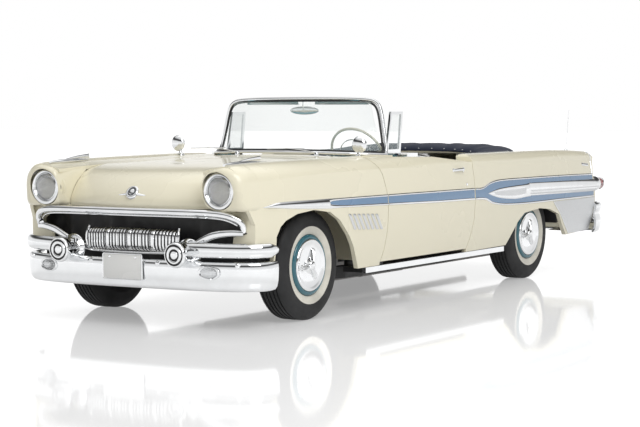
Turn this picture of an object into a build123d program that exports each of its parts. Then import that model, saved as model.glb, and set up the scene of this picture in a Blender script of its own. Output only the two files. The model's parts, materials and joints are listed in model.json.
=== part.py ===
from build123d import *
import math
import os

# A 1950s two-door convertible car, in millimetres.
# +Z is up, the nose points to -Y, +X is the car's own left side, and the ground is z = 0.

# Driving dimensions
WHEELBASE = 3150
FRONT_OVERHANG = 900
REAR_OVERHANG = 1390
BODY_HALF_WIDTH = 955
TRACK = 1504
TYRE_RADIUS = 350
TYRE_WIDTH = 214
RIM_RADIUS = 182
RIM_WIDTH = 150
SEAM = 6
SKIN = 26
DOOR_THICKNESS = 160
FLOOR_TOP = 310
FLOOR_THICKNESS = 18
REAR_FLOOR_TOP = 510
WELL_FLOOR_TOP = 560
BOOT_FLOOR_TOP = 430
RAIL_HEIGHT = 80
RAIL_WIDTH = 75
RAIL_FRONT_Z = 300
RAIL_CABIN_Z = 180
RAIL_AXLE_Z = 405
RAIL_TAIL_Z = 290
SILL_BOTTOM = 255
SILL_TOP = 292
SILL_HALF_WIDTH = 899
DOOR_BOTTOM = 316
HOOD_HALF_WIDTH = 560
DECK_HALF_WIDTH = 600
HOOD_LIP_Z = 730
HOOD_HINGE_X = 420
DECK_HINGE_X = 500
HEADLAMP_X = 677
HEADLAMP_Z = 845
HEADLAMP_RADIUS = 112
WINDSHIELD_TOP = 1412
RUN_CLEARANCE = 0.08
SEAT_GAP = 0.3
STEER_AXIS_X = 655
STEERING_X = 345
STEERING_TILT = 62
SPRING_X = 596
TOW_HOLE_RADIUS = 11
LATCH_HOLE_RADIUS = 8

# Places worked out from the driving dimensions
LENGTH = FRONT_OVERHANG + WHEELBASE + REAR_OVERHANG
FRONT_AXLE_Y = FRONT_OVERHANG - LENGTH / 2
REAR_AXLE_Y = FRONT_AXLE_Y + WHEELBASE
NOSE_Y = FRONT_AXLE_Y - FRONT_OVERHANG
TAIL_Y = REAR_AXLE_Y + REAR_OVERHANG
AXLE_Z = TYRE_RADIUS
CABIN_HALF_WIDTH = BODY_HALF_WIDTH - DOOR_THICKNESS
HOOD_REAR_Y = FRONT_AXLE_Y + 830
HINGE_X = BODY_HALF_WIDTH + 2
DOOR_HINGE_Y = FRONT_AXLE_Y + 690
DOOR_REAR_Y = REAR_AXLE_Y - 1096
DECK_FRONT_Y = REAR_AXLE_Y + 262
TOP_WELL_Y = REAR_AXLE_Y - 240


def front(distance):
    """A station this far behind the front axle."""
    return FRONT_AXLE_Y + distance


def rear(distance):
    """A station this far behind the rear axle."""
    return REAR_AXLE_Y + distance


def block(x_low, x_high, y_low, y_high, z_low, z_high):
    size = Box(x_high - x_low, y_high - y_low, z_high - z_low)
    return Pos((x_low + x_high) / 2, (y_low + y_high) / 2, (z_low + z_high) / 2) * size


def outline(points, radius=0):
    if radius == 0:
        return make_face(Polyline(*points, close=True))
    return make_face(FilletPolyline(*points, radius=radius, close=True))


def side_prism(points, x_low, x_high, radius=0):
    """A side-view outline of (y, z) points, given a width in x."""
    face = Plane.YZ.offset(x_low) * outline(points, radius)
    return extrude(face, x_high - x_low)


def plan_prism(points, z_low, z_high, radius=0):
    """A plan outline of (x, y) points, given a height in z."""
    face = Plane.XY.offset(z_low) * outline(points, radius)
    return extrude(face, z_high - z_low)


def front_prism(points, y_low, y_high, radius=0):
    """A front-view outline of (x, z) points, given a depth in y."""
    face = Plane.XZ.offset(-y_high) * outline(points, radius)
    return extrude(face, y_high - y_low)


def lathe_x(points):
    """Turn (x, radius) points about the X axis."""
    return revolve(Plane.XY * outline(points), Axis.X)


def rod_x(radius, x_low, x_high, y, z):
    return Pos((x_low + x_high) / 2, y, z) * (Rot(0, 90, 0) * Cylinder(radius, x_high - x_low))


def rod_y(radius, y_low, y_high, x, z):
    return Pos(x, (y_low + y_high) / 2, z) * (Rot(90, 0, 0) * Cylinder(radius, y_high - y_low))


def rod_z(radius, z_low, z_high, x, y):
    return Pos(x, y, (z_low + z_high) / 2) * Cylinder(radius, z_high - z_low)


def mirrored(shape):
    return mirror(shape, Plane.YZ)


def both(shape):
    """The shape and its mirror image, as one node of two solids."""
    return Compound(list(shape.solids()) + list(mirrored(shape).solids()))


NODES = {}


def keep(name, shape):
    NODES[name] = shape


def keep_pair(stem, left_shape):
    keep(stem + "_left", left_shape)
    keep(stem + "_right", mirrored(left_shape))


# The body's cross-sections, from nose to tail
# station, sill x, sill z, side x, side z, shoulder x, shoulder z, crown x, crown z, seam z, centre z
SECTIONS = [
    (front(-770), 800, 300, 838, 650, 818, 890, 680, 985, 960, 955),
    (front(-520), 862, 270, 900, 655, 880, 905, 686, 994, 970, 966),
    (front(-150), 893, 256, 942, 665, 915, 922, 690, 1000, 982, 984),
    (front(450), 900, SILL_BOTTOM, 953, 685, 926, 932, 700, 1004, 994, 1006),
    (front(1200), 901, SILL_BOTTOM, BODY_HALF_WIDTH, 695, 929, 930, 780, 1006, 1000, 1012),
    (rear(-1000), 901, SILL_BOTTOM, BODY_HALF_WIDTH, 690, 930, 915, 830, 990, 985, 990),
    (rear(-300), 900, SILL_BOTTOM, BODY_HALF_WIDTH, 675, 926, 905, 820, 988, 975, 985),
    (rear(400), 896, 265, 952, 662, 916, 900, 822, 984, 962, 975),
    (rear(900), 885, 290, 944, 655, 902, 890, 826, 968, 905, 915),
    (rear(1240), 870, 310, 925, 655, 886, 880, 822, 944, 830, 840),
]


def body_section(row, inset):
    """One closed cross-section; inset moves it inwards by a wall thickness."""
    y, x_sill, z_sill, x_side, z_side, x_shoulder, z_shoulder, x_crown, z_crown, z_seam, z_centre = row
    sill = (x_sill - inset, z_sill + inset)
    side = (x_side - inset, z_side)
    shoulder = (x_shoulder - inset, z_shoulder)
    crown = (x_crown - inset * 0.5, z_crown - inset)
    seam = (HOOD_HALF_WIDTH - inset * 0.5, z_seam - inset)
    centre = (0, z_centre - inset)
    lower_bulge = ((sill[0] + side[0]) / 2 + 12, (sill[1] + side[1]) / 2)
    upper_bulge = ((side[0] + shoulder[0]) / 2 + 4, (side[1] + shoulder[1]) / 2)
    corner = (shoulder[0] * 0.76 + crown[0] * 0.24, shoulder[1] * 0.24 + crown[1] * 0.76)
    valley = ((crown[0] + seam[0]) / 2, (crown[1] + seam[1]) / 2 + 1)

    def flip(point):
        return (-point[0], point[1])

    edges = [
        Line(flip(sill), sill),
        ThreePointArc(sill, lower_bulge, side),
        ThreePointArc(side, upper_bulge, shoulder),
        ThreePointArc(shoulder, corner, crown),
        ThreePointArc(crown, valley, seam),
        ThreePointArc(seam, centre, flip(seam)),
        ThreePointArc(flip(seam), flip(valley), flip(crown)),
        ThreePointArc(flip(crown), flip(corner), flip(shoulder)),
        ThreePointArc(flip(shoulder), flip(upper_bulge), flip(side)),
        ThreePointArc(flip(side), flip(lower_bulge), flip(sill)),
    ]
    return Plane.XZ.offset(-y) * make_face(edges)


def body_form(inset=0):
    return loft([body_section(row, inset) for row in SECTIONS])


OUTER = body_form()
INNER = body_form(SKIN)
SHELL = OUTER - INNER

# Side-view seams of the door, as (y, z) from top to bottom
DOOR_FRONT_SEAM = [
    (front(694), 1040), (front(694), 1001), (front(771), 892), (front(810), 752),
    (front(815), 525), (front(794), 393), (front(767), DOOR_BOTTOM),
]
DOOR_REAR_SEAM = [
    (DOOR_REAR_Y - 71, DOOR_BOTTOM), (DOOR_REAR_Y - 40, 378), (DOOR_REAR_Y - 1, 520),
    (DOOR_REAR_Y, 751), (DOOR_REAR_Y, 1040),
]
# The belt line along the door's top
BELT = [(front(851), 1009), (front(1533), 990), (DOOR_REAR_Y - 39, 940), (DOOR_REAR_Y, 940)]

FRONT_ARCH = [
    (front(-466), 200), (front(-466), 560), (front(-430), 620), (front(-381), 655),
    (front(-268), 691), (front(-96), 706), (front(81), 684), (front(200), 626),
    (front(322), 521), (front(384), 452), (front(446), 355), (front(521), 245), (front(521), 200),
]
REAR_ARCH = [
    (rear(-554), 200), (rear(-554), 256), (rear(-368), 463), (rear(-265), 526), (rear(-1), 548),
    (rear(180), 533), (rear(366), 483), (rear(460), 391), (rear(575), 305), (rear(575), 200),
]


# The grille opening's outline in front view, left half, as (x, z)
GRILLE_OPENING = [
    (0, 722), (560, 722), (703, 694), (795, 628), (815, 586), (715, 562), (690, 400), (0, 400),
]


def shift(points, distance):
    return [(y + distance, z) for y, z in points]


def body_panels():
    lean = [
        (front(-680), 1100), (front(-742), 1010), (front(-742), 954), (front(-694), 738),
        (front(-645), 640), (front(-645), 480), (front(-560), 470),
    ]
    # Front fender
    seam_front = shift(DOOR_FRONT_SEAM, -SEAM)
    fender_side = lean + [(front(-480), 480), (front(-480), SILL_TOP), (seam_front[-1][0], SILL_TOP)] + seam_front[::-1]
    fender_side = fender_side + [(seam_front[0][0], 1100)]
    zone = side_prism(fender_side, HOOD_HALF_WIDTH + SEAM / 2, BODY_HALF_WIDTH + 40)
    strip = block(HOOD_HALF_WIDTH + SEAM / 2, CABIN_HALF_WIDTH - SEAM, front(600), HOOD_REAR_Y, 900, 1100)
    fender = (SHELL & (zone + strip)) - side_prism(FRONT_ARCH, 500, 1000)
    ring_plane = Plane(origin=(HEADLAMP_X, front(-716), HEADLAMP_Z), x_dir=(1, 0, 0), z_dir=(0, -1, 0.12))
    root_plane = Plane.XZ.offset(-front(-520))
    root = root_plane * outline(
        [(580, 640), (880, 640), (880, 930), (800, 985), (580, 985)], 60)
    ring = ring_plane * Circle(HEADLAMP_RADIUS + 14)
    behind_lamp = block(0, 1000, front(-690), front(-400), 0, 1100)
    housing = (loft([root, ring]) & OUTER) - (INNER & behind_lamp)
    face_wall = OUTER & block(HOOD_HALF_WIDTH + SEAM / 2, 1000, front(-645), front(-645) + SKIN, 480, 760)
    face_wall = face_wall - front_prism(GRILLE_OPENING, NOSE_Y, front(-500))
    fender = fender + housing + face_wall
    fender = fender & block(0, 1000, NOSE_Y, HOOD_REAR_Y, 200, 1100)
    keep_pair("front_fender", fender.solids().sort_by(SortBy.VOLUME)[-1])

    # Hood, with its rounded nose
    nose = [
        (front(-648), HOOD_LIP_Z), (front(-648), 824), (front(-619), 887), (front(-588), 920),
        (front(-517), 950), (front(-436), 966), (front(-229), 984), (front(0), 1100),
        (HOOD_REAR_Y - SEAM, 1100), (HOOD_REAR_Y - SEAM, HOOD_LIP_Z),
    ]
    nose_zone = side_prism(nose, -HOOD_HALF_WIDTH + SEAM / 2, HOOD_HALF_WIDTH - SEAM / 2)
    hollow = side_prism(
        [(y + SKIN, z - SKIN) for y, z in nose[:7]] + [(front(0), 1080), (HOOD_REAR_Y + 10, 1080),
         (HOOD_REAR_Y + 10, 600), (front(-648) + SKIN, 600)], -HOOD_HALF_WIDTH, HOOD_HALF_WIDTH)
    hood = (OUTER & nose_zone) - (INNER & hollow)
    plate = OUTER & block(HOOD_HINGE_X - 12, HOOD_HINGE_X, HOOD_REAR_Y - 100, HOOD_REAR_Y - 12, 900, 1100)
    hood = hood + plate + mirrored(plate)
    keep("hood", hood.solids().sort_by(SortBy.VOLUME)[-1])

    # Cowl: the panel ahead of the windshield, the firewall and the side walls by the feet
    inside = CABIN_HALF_WIDTH - SEAM
    top = SHELL & block(-inside, inside, HOOD_REAR_Y, front(1150), 900, 1100)
    cut = plan_prism([(0, front(905)), (520, front(985)), (705, front(1190)), (-705, front(1190)),
                      (-520, front(985))], 900, 1100)
    firewall = block(-inside, inside, HOOD_REAR_Y + 10, HOOD_REAR_Y + 28, FLOOR_TOP, 985)
    wall = block(inside - 18, inside, HOOD_REAR_Y + 28, front(1150), FLOOR_TOP, 985)
    cowl = top.solids().sort_by(SortBy.VOLUME)[-1] - cut
    bracket = block(HOOD_HINGE_X + SEAT_GAP, HOOD_HINGE_X + 12, HOOD_REAR_Y - 70, HOOD_REAR_Y + 12, 900, 950)
    cowl = cowl + (firewall & OUTER) + (wall & OUTER) + (mirrored(wall) & OUTER)
    cowl = cowl + bracket + mirrored(bracket)
    keep("cowl", cowl)

    # Doors
    door_side = DOOR_FRONT_SEAM[1:] + DOOR_REAR_SEAM[:-1] + BELT[::-1]
    door = OUTER & side_prism(door_side, CABIN_HALF_WIDTH, BODY_HALF_WIDTH + 40)
    keep_pair("door", door)

    # Rear quarters
    seam_rear = shift(DOOR_REAR_SEAM, SEAM)
    quarter_side = seam_rear[:-1] + [
        (DOOR_REAR_Y + SEAM, 975), (rear(-1000), 1100), (rear(900), 1100), (rear(1042), 957),
        (rear(1123), 912), (rear(1064), 766), (rear(1090), 560), (rear(1064), 320), (rear(560), 305),
        (seam_rear[0][0], SILL_TOP),
    ]
    inner_trim = OUTER & (block(CABIN_HALF_WIDTH, 1000, DOOR_REAR_Y, rear(-450), SILL_TOP, 1100)
                          + block(CABIN_HALF_WIDTH, 1000, DOOR_REAR_Y, TOP_WELL_Y, 790, 1100))
    zone = side_prism(quarter_side, DECK_HALF_WIDTH + SEAM / 2, BODY_HALF_WIDTH + 40)
    open_well = block(0, CABIN_HALF_WIDTH, DOOR_REAR_Y - 50, TOP_WELL_Y, 200, 1100)
    quarter = ((SHELL + inner_trim) & zone) - open_well
    quarter = quarter - side_prism(REAR_ARCH, 500, 1000)
    hinge_y = DECK_FRONT_Y + 8
    quarter = quarter + block(DECK_HINGE_X + SEAT_GAP, DECK_HALF_WIDTH + SEAM, hinge_y, hinge_y + 60, 890, 925)
    quarter = quarter + (OUTER & block(DECK_HALF_WIDTH + SEAM / 2, DECK_HALF_WIDTH + 20, hinge_y, hinge_y + 60,
                                       890, 1100))
    keep_pair("quarter", quarter.solids().sort_by(SortBy.VOLUME)[-1])

    # Deck lid and the panel below it
    tail = [
        (DECK_FRONT_Y, 1100), (rear(700), 1100), (rear(1000), 905), (rear(1085), 830), (rear(1120), 740),
        (rear(1124), 640), (DECK_FRONT_Y, 640),
    ]
    tail_in = [(DECK_FRONT_Y - 10, 1100), (rear(700), 1100), (rear(972), 888), (rear(1056), 815),
               (rear(1092), 735), (rear(1096), 600), (DECK_FRONT_Y - 10, 600)]
    half = DECK_HALF_WIDTH - SEAM / 2
    lid = (OUTER & side_prism(tail, -half, half)) - (INNER & side_prism(tail_in, -half - 5, half + 5))
    plate = OUTER & block(DECK_HINGE_X - 12, DECK_HINGE_X, DECK_FRONT_Y + 6, DECK_FRONT_Y + 70, 890, 1100)
    lid = lid + plate + mirrored(plate)
    keep("deck_lid", lid.solids().sort_by(SortBy.VOLUME)[-1])
    keep("tail_panel", side_prism(
        [(rear(1098), 634), (rear(1124), 634), (rear(1130), 500), (rear(1110), 404), (rear(1084), 404),
         (rear(1104), 500)], -half - SEAM + SEAT_GAP, half + SEAM - SEAT_GAP))


def rocker():
    bar = block(SILL_HALF_WIDTH + SEAT_GAP, SILL_HALF_WIDTH + 17, front(575), rear(-556), SILL_BOTTOM, SILL_TOP - 1)
    keep("rocker_mouldings", both(bar))


def floor_and_frame():
    # Floor pan: toe board, cabin floor, kick-up under the rear seat, boot floor
    line = [
        (HOOD_REAR_Y + 29, 480), (front(1000), FLOOR_TOP), (rear(-760), FLOOR_TOP), (rear(-640), REAR_FLOOR_TOP),
        (rear(-330), REAR_FLOOR_TOP), (rear(-260), WELL_FLOOR_TOP), (rear(300), WELL_FLOOR_TOP),
        (rear(560), BOOT_FLOOR_TOP), (rear(1085.3), BOOT_FLOOR_TOP),
    ]
    below = [(y, z - FLOOR_THICKNESS) for y, z in line]
    half = CABIN_HALF_WIDTH - 40
    pan = side_prism(line + below[::-1], -half, half)
    sill = (block(half - 5, SILL_HALF_WIDTH, front(560), rear(-560), SILL_BOTTOM + 4, SILL_TOP - SEAT_GAP)
            + block(half - 5, CABIN_HALF_WIDTH - SEAM, front(770), rear(-560), SILL_BOTTOM + 4, FLOOR_TOP))
    well_outer = rod_x(424, 560, 905, REAR_AXLE_Y, AXLE_Z)
    well_inner = rod_x(410, 572, 1000, REAR_AXLE_Y, AXLE_Z)
    above = block(0, 1000, REAR_AXLE_Y - 450, REAR_AXLE_Y + 450, AXLE_Z + 60, 1000)
    well = ((well_outer - well_inner) & above) & INNER
    opening = well_outer & above
    hinge_foot = block(845, 885, front(790), front(850), SILL_BOTTOM + 10, DOOR_BOTTOM - SEAT_GAP)
    sills = (sill & OUTER) + (mirrored(sill) & OUTER) + hinge_foot + mirrored(hinge_foot)
    keep("floor_pan", (pan - opening - mirrored(opening)) + sills + well + mirrored(well))

    # Ladder frame with kick-ups over both axles
    rail_side = [
        (front(-640), RAIL_FRONT_Z), (front(300), RAIL_FRONT_Z), (front(650), RAIL_CABIN_Z),
        (rear(-620), RAIL_CABIN_Z), (rear(-380), RAIL_AXLE_Z), (rear(300), RAIL_AXLE_Z),
        (rear(520), RAIL_TAIL_Z), (rear(1060), RAIL_TAIL_Z),
    ]
    rail_top = [(y, z + RAIL_HEIGHT) for y, z in rail_side]
    slab = side_prism(rail_side + rail_top[::-1], -900, 900)
    plan = [(380, front(-640)), (380, front(350)), (560, front(900)), (560, rear(-700)), (470, rear(-300)),
            (470, rear(1060))]
    inner = [(x - RAIL_WIDTH, y) for x, y in plan]
    rail = plan_prism(plan + inner[::-1], 100, 700)
    frame = (slab & rail) + (slab & mirrored(rail))
    for y, z_low in ((front(-500), RAIL_FRONT_Z), (front(750), RAIL_CABIN_Z), (rear(-760), RAIL_CABIN_Z),
                     (rear(560), RAIL_TAIL_Z), (rear(1000), RAIL_TAIL_Z)):
        member = block(-500, 500, y - 35, y + 35, z_low + 5, z_low + RAIL_HEIGHT)
        frame = frame + (member & plan_prism(plan + [(-x, y) for x, y in plan[::-1]], 100, 700))
    tower = block(330, 380, FRONT_AXLE_Y - 110, FRONT_AXLE_Y + 110, RAIL_FRONT_Z + 20, 496)
    frame = frame + tower + mirrored(tower)
    for x, y in ((522, front(1000)), (522, front(1700)), (522, rear(-800))):
        pad = rod_z(30, RAIL_CABIN_Z + 40, FLOOR_TOP - FLOOR_THICKNESS - SEAT_GAP, x, y)
        frame = frame + pad + mirrored(pad)
    frame = frame - rod_z(TOW_HOLE_RADIUS, RAIL_TAIL_Z - 50, RAIL_TAIL_Z + 150, 0, rear(1000))
    keep("chassis_frame", frame)


def running_gear():
    # Front suspension: a crossmember, two wishbones and a spring on each side
    cross = block(-340, 340, FRONT_AXLE_Y - 150, FRONT_AXLE_Y + 150, 190, RAIL_FRONT_Z - SEAT_GAP)
    keep("front_crossmember", cross)
    arms = None
    for z, root_x, half_root in ((215, 340 + SEAT_GAP, 150), (478, 380 + SEAT_GAP, 110)):
        arm = plan_prism([(root_x, FRONT_AXLE_Y - half_root), (STEER_AXIS_X, FRONT_AXLE_Y - 26),
                          (STEER_AXIS_X, FRONT_AXLE_Y + 26), (root_x, FRONT_AXLE_Y + half_root)], z - 12, z + 12)
        arm = arm + rod_z(27, z - 12, z + 12, STEER_AXIS_X, FRONT_AXLE_Y)
        arms = arm if arms is None else Compound(list(arms.solids()) + list(arm.solids()))
    spring = rod_z(55, 227 + SEAT_GAP, 466 - SEAT_GAP, 520, FRONT_AXLE_Y)
    keep("front_suspension", both(Compound(list(arms.solids()) + list(spring.solids()))))

    # Knuckle: an upright, its spindle and a steering arm
    upright = block(STEER_AXIS_X - 24, STEER_AXIS_X + 24, FRONT_AXLE_Y - 26, FRONT_AXLE_Y + 26,
                    227 + SEAT_GAP, 466 - SEAT_GAP)
    spindle = rod_x(22, STEER_AXIS_X, TRACK / 2 + 40, FRONT_AXLE_Y, AXLE_Z)
    arm = block(STEER_AXIS_X - 18, STEER_AXIS_X + 12, FRONT_AXLE_Y + 20, FRONT_AXLE_Y + 150, 262, 290)
    keep_pair("knuckle", upright + spindle + arm)

    # Rear axle: tube, differential, stub ends and leaf springs
    stub_end = TRACK / 2 + 40
    tube_end = TRACK / 2 - 90
    axle_half = [(0, 0), (0, 130), (60, 130), (130, 42), (tube_end, 42), (tube_end, 22), (stub_end, 22),
                 (stub_end, 0)]
    half_axle = Pos(0, REAR_AXLE_Y, AXLE_Z) * lathe_x(axle_half)
    keep("rear_axle", half_axle + mirrored(half_axle))
    leaf_line = [(rear(-640), 283), (rear(-200), 250), (rear(0), 242), (rear(200), 250), (rear(620), 290)]
    leaf = side_prism(leaf_line + [(y, z + 34) for y, z in leaf_line[::-1]], SPRING_X - 30, SPRING_X + 30)
    pad = block(SPRING_X - 30, SPRING_X + 30, REAR_AXLE_Y - 60, REAR_AXLE_Y + 60, 270, AXLE_Z)
    shackles = None
    for y, low, high in ((rear(-630), RAIL_CABIN_Z + 20, 300), (rear(610), 300, 350)):
        hanger = block(470, SPRING_X, y - 12, y + 12, low, high)
        shackles = hanger if shackles is None else shackles + hanger
    springs = leaf + pad + shackles - NODES["rear_axle"] - NODES["chassis_frame"]
    keep("leaf_springs", both(springs))

    # Tyres and wheels
    half = TYRE_WIDTH / 2
    tyre_profile = [
        (-RIM_WIDTH / 2, RIM_RADIUS), (-half + 4, RIM_RADIUS + 60), (-half + 4, 285), (-half + 20, 330),
        (-80, TYRE_RADIUS), (80, TYRE_RADIUS), (half - 20, 330), (half - 4, 285),
        (half - 4, RIM_RADIUS + 60), (RIM_WIDTH / 2, RIM_RADIUS),
    ]
    tyre = lathe_x(tyre_profile)
    bore = 22 + RUN_CLEARANCE
    wheel_profile = [
        (-RIM_WIDTH / 2, RIM_RADIUS), (-RIM_WIDTH / 2, RIM_RADIUS - 12), (16, RIM_RADIUS - 26),
        (16, 64), (-32, 64), (-32, bore), (44, bore), (44, 0), (92, 0), (92, 36), (78, 78), (56, 130),
        (62, 172), (RIM_WIDTH / 2, RIM_RADIUS - 4), (RIM_WIDTH / 2, RIM_RADIUS),
    ]
    wheel = lathe_x(wheel_profile)
    for axle, y in (("front", FRONT_AXLE_Y), ("rear", REAR_AXLE_Y)):
        keep_pair("tyre_" + axle, Pos(TRACK / 2, y, AXLE_Z) * tyre)
        keep_pair("wheel_" + axle, Pos(TRACK / 2, y, AXLE_Z) * wheel)


def engine_and_exhaust():
    keep("engine_block", block(-280, 280, front(-200), front(560), RAIL_FRONT_Z, 880))
    keep("radiator", block(-300, 300, front(-530), front(-470), RAIL_FRONT_Z + RAIL_HEIGHT + SEAT_GAP, 880))
    pipe = rod_y(25, front(480), rear(1120), 300, 150)
    downpipe = rod_z(25, 150, RAIL_FRONT_Z - SEAT_GAP, 250, front(500)) + rod_x(25, 250, 300, front(500), 150)
    muffler = rod_y(62, front(1500), front(2100), 300, 185)
    keep("exhaust_system", both(pipe + downpipe + muffler))


def bumpers():
    # Front bumper: front view and plan outlines crossed
    face = [(0, 258), (600, 262), (760, 275), (860, 285), (965, 300), (968, 400), (965, 478), (930, 480),
            (880, 440), (760, 362), (640, 352), (0, 352)]
    plan = [(0, front(-812)), (500, front(-800)), (760, front(-752)), (890, front(-672)), (962, front(-504)),
            (936, front(-500)), (868, front(-648)), (745, front(-722)), (490, front(-768)), (0, front(-778))]
    bar = front_prism(face, NOSE_Y, front(-400)) & plan_prism(plan, 200, 600)
    bullet = rod_y(78, NOSE_Y + 50, front(-700), 451, 462)
    nose = Pos(451, NOSE_Y + 50, 462) * (Rot(90, 0, 0) * Cone(78, 30, 50, align=(Align.CENTER, Align.CENTER, Align.MIN)))
    arm = block(415, 487, front(-790), front(-710), 330, 440)
    stay = block(310, 375, front(-792), front(-640) - SEAT_GAP, RAIL_FRONT_Z, RAIL_FRONT_Z + RAIL_HEIGHT)
    half = bar + bullet + nose + arm + stay
    keep("front_bumper", half + mirrored(half))

    face = [(0, 330), (700, 330), (945, 360), (950, 470), (900, 540), (640, 520), (0, 500)]
    plan = [(0, TAIL_Y), (600, TAIL_Y - 14), (820, TAIL_Y - 70), (945, TAIL_Y - 210), (952, rear(1090)),
            (925, rear(1090)), (915, TAIL_Y - 220), (800, TAIL_Y - 104), (590, TAIL_Y - 50), (0, TAIL_Y - 36)]
    bar = front_prism(face, rear(900), TAIL_Y) & plan_prism(plan, 200, 700)
    stay = block(400, 465, rear(1060) + SEAT_GAP, TAIL_Y - 30, RAIL_TAIL_Z, RAIL_TAIL_Z + RAIL_HEIGHT)
    half = bar + stay
    keep("rear_bumper", half + mirrored(half))


def grille_parts():
    # Ribbed centre bar: three broad ribs and groups of fine ones
    bar = block(-352, 352, front(-720), front(-690), 460, 604)
    ribs = None
    fine = 24
    for index in range(-14, 15):
        x = index * fine
        depth = 40 if index in (-7, 0, 7) else 16
        width = 14 if index in (-7, 0, 7) else 7
        rib = block(x - width, x + width, front(-720) - depth, front(-719), 464, 600)
        ribs = rib if ribs is None else ribs + rib
    keep("grille", bar + ribs)
    brow_face = [(0, 676), (560, 676), (690, 650), (790, 610), (812, 628), (700, 700), (560, 720), (0, 722)]
    plan = [(0, front(-790)), (560, front(-735)), (815, front(-668)), (815, front(-640)), (560, front(-650)),
            (0, front(-650))]
    brow = front_prism(brow_face, NOSE_Y, front(-600)) & plan_prism(plan, 500, 800)
    brow = brow - NODES["front_fender_left"]
    lower_face = [(352, 590), (840, 572), (840, 592), (352, 628)]
    wing = front_prism(lower_face, front(-710), front(-640)) - NODES["front_fender_left"]
    keep("grille_brow", brow + mirrored(brow))
    keep("grille_wings", both(wing))
    bumper_face = front(-812)
    keep("number_plate", block(-152, 152, bumper_face - 5, bumper_face - SEAT_GAP, 292, 446))


def lamps():
    lean = math.degrees(math.atan2(0.12, 1))
    seat = Pos(HEADLAMP_X, front(-718), HEADLAMP_Z) * (Rot(90 + lean, 0, 0) * Cylinder(HEADLAMP_RADIUS, 30))
    lens = Pos(HEADLAMP_X, front(-720), HEADLAMP_Z) * (Rot(90 + lean, 0, 0) * Cylinder(88, 50))
    keep("headlamps", both(lens - NODES["front_fender_left"]))
    keep("headlamp_bezels", both(seat - lens - NODES["front_fender_left"]))
    parking = Pos(624, front(-724), 356) * (Rot(90, 0, 0) * extrude(Ellipse(76, 42), 40))
    keep("parking_lamps", both(parking - NODES["front_bumper"]))
    tail = rod_y(70, rear(1000), rear(1260), 880, 690)
    cone = Pos(880, rear(1260), 690) * (Rot(-90, 0, 0) * Cone(70, 24, 70, align=(Align.CENTER, Align.CENTER, Align.MIN)))
    keep("tail_lamps", both((tail + cone) - NODES["quarter_left"]))


# Windshield: the arcs at its foot and head
FOOT_Z = 1004
FOOT = (708, front(1232), front(858))
HEAD = (592, front(1262), front(1196))


def crescent(height, inset, thick_out, thick_in):
    """A plan slice of the curved windshield at one height."""
    share = (height - FOOT_Z) / (WINDSHIELD_TOP - FOOT_Z)
    x_end = FOOT[0] + (HEAD[0] - FOOT[0]) * share - inset
    y_end = FOOT[1] + (HEAD[1] - FOOT[1]) * share - inset * 1.1
    y_mid = FOOT[2] + (HEAD[2] - FOOT[2]) * share
    outer = ThreePointArc((-x_end, y_end), (0, y_mid - thick_out), (x_end, y_end))
    inner = ThreePointArc((x_end - thick_in * 0.9, y_end + thick_in * 0.2), (0, y_mid + thick_in),
                          (-x_end + thick_in * 0.9, y_end + thick_in * 0.2))
    edges = [outer, Line((x_end, y_end), inner @ 0), inner, Line(inner @ 1, (-x_end, y_end))]
    return Plane.XY.offset(height) * make_face(edges)


def windshield():
    body = loft([crescent(FOOT_Z, 0, 0, 34), crescent(WINDSHIELD_TOP, 0, 0, 34)], ruled=True)
    window = loft([crescent(FOOT_Z + 34, 30, 30, 70), crescent(WINDSHIELD_TOP - 34, 30, 30, 70)], ruled=True)
    pane = loft([crescent(FOOT_Z + 34, 30, -12, 18), crescent(WINDSHIELD_TOP - 34, 30, -12, 18)], ruled=True)
    frame = body - window - NODES["cowl"]
    for x in (-400, 400):
        frame = frame - rod_z(LATCH_HOLE_RADIUS, WINDSHIELD_TOP - 25, WINDSHIELD_TOP + 10, x, front(1243))
    keep("windshield_frame", frame.solids().sort_by(SortBy.VOLUME)[-1])
    keep("windshield_glass", pane - frame)
    # Vent frame, carried by the door
    bottom = [(front(1262), 1018), (front(1460), 1018)]
    top = [(front(1494), 1306), (front(1330), 1306)]
    frame_face = outline(bottom + top)
    hole = outline([(front(1290), 1044), (front(1440), 1044), (front(1470), 1286), (front(1342), 1286)])
    lean = Plane.YZ.offset(660)
    vent = extrude(lean * (frame_face - hole), 16)
    foot = block(655, CABIN_HALF_WIDTH + 30, front(1290), front(1440), 975, 1019)
    keep_pair("vent_frame", vent + (foot - NODES["door_left"]))
    pane = extrude(Plane.YZ.offset(665) * hole, 6)
    keep_pair("vent_glass", pane)


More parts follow.
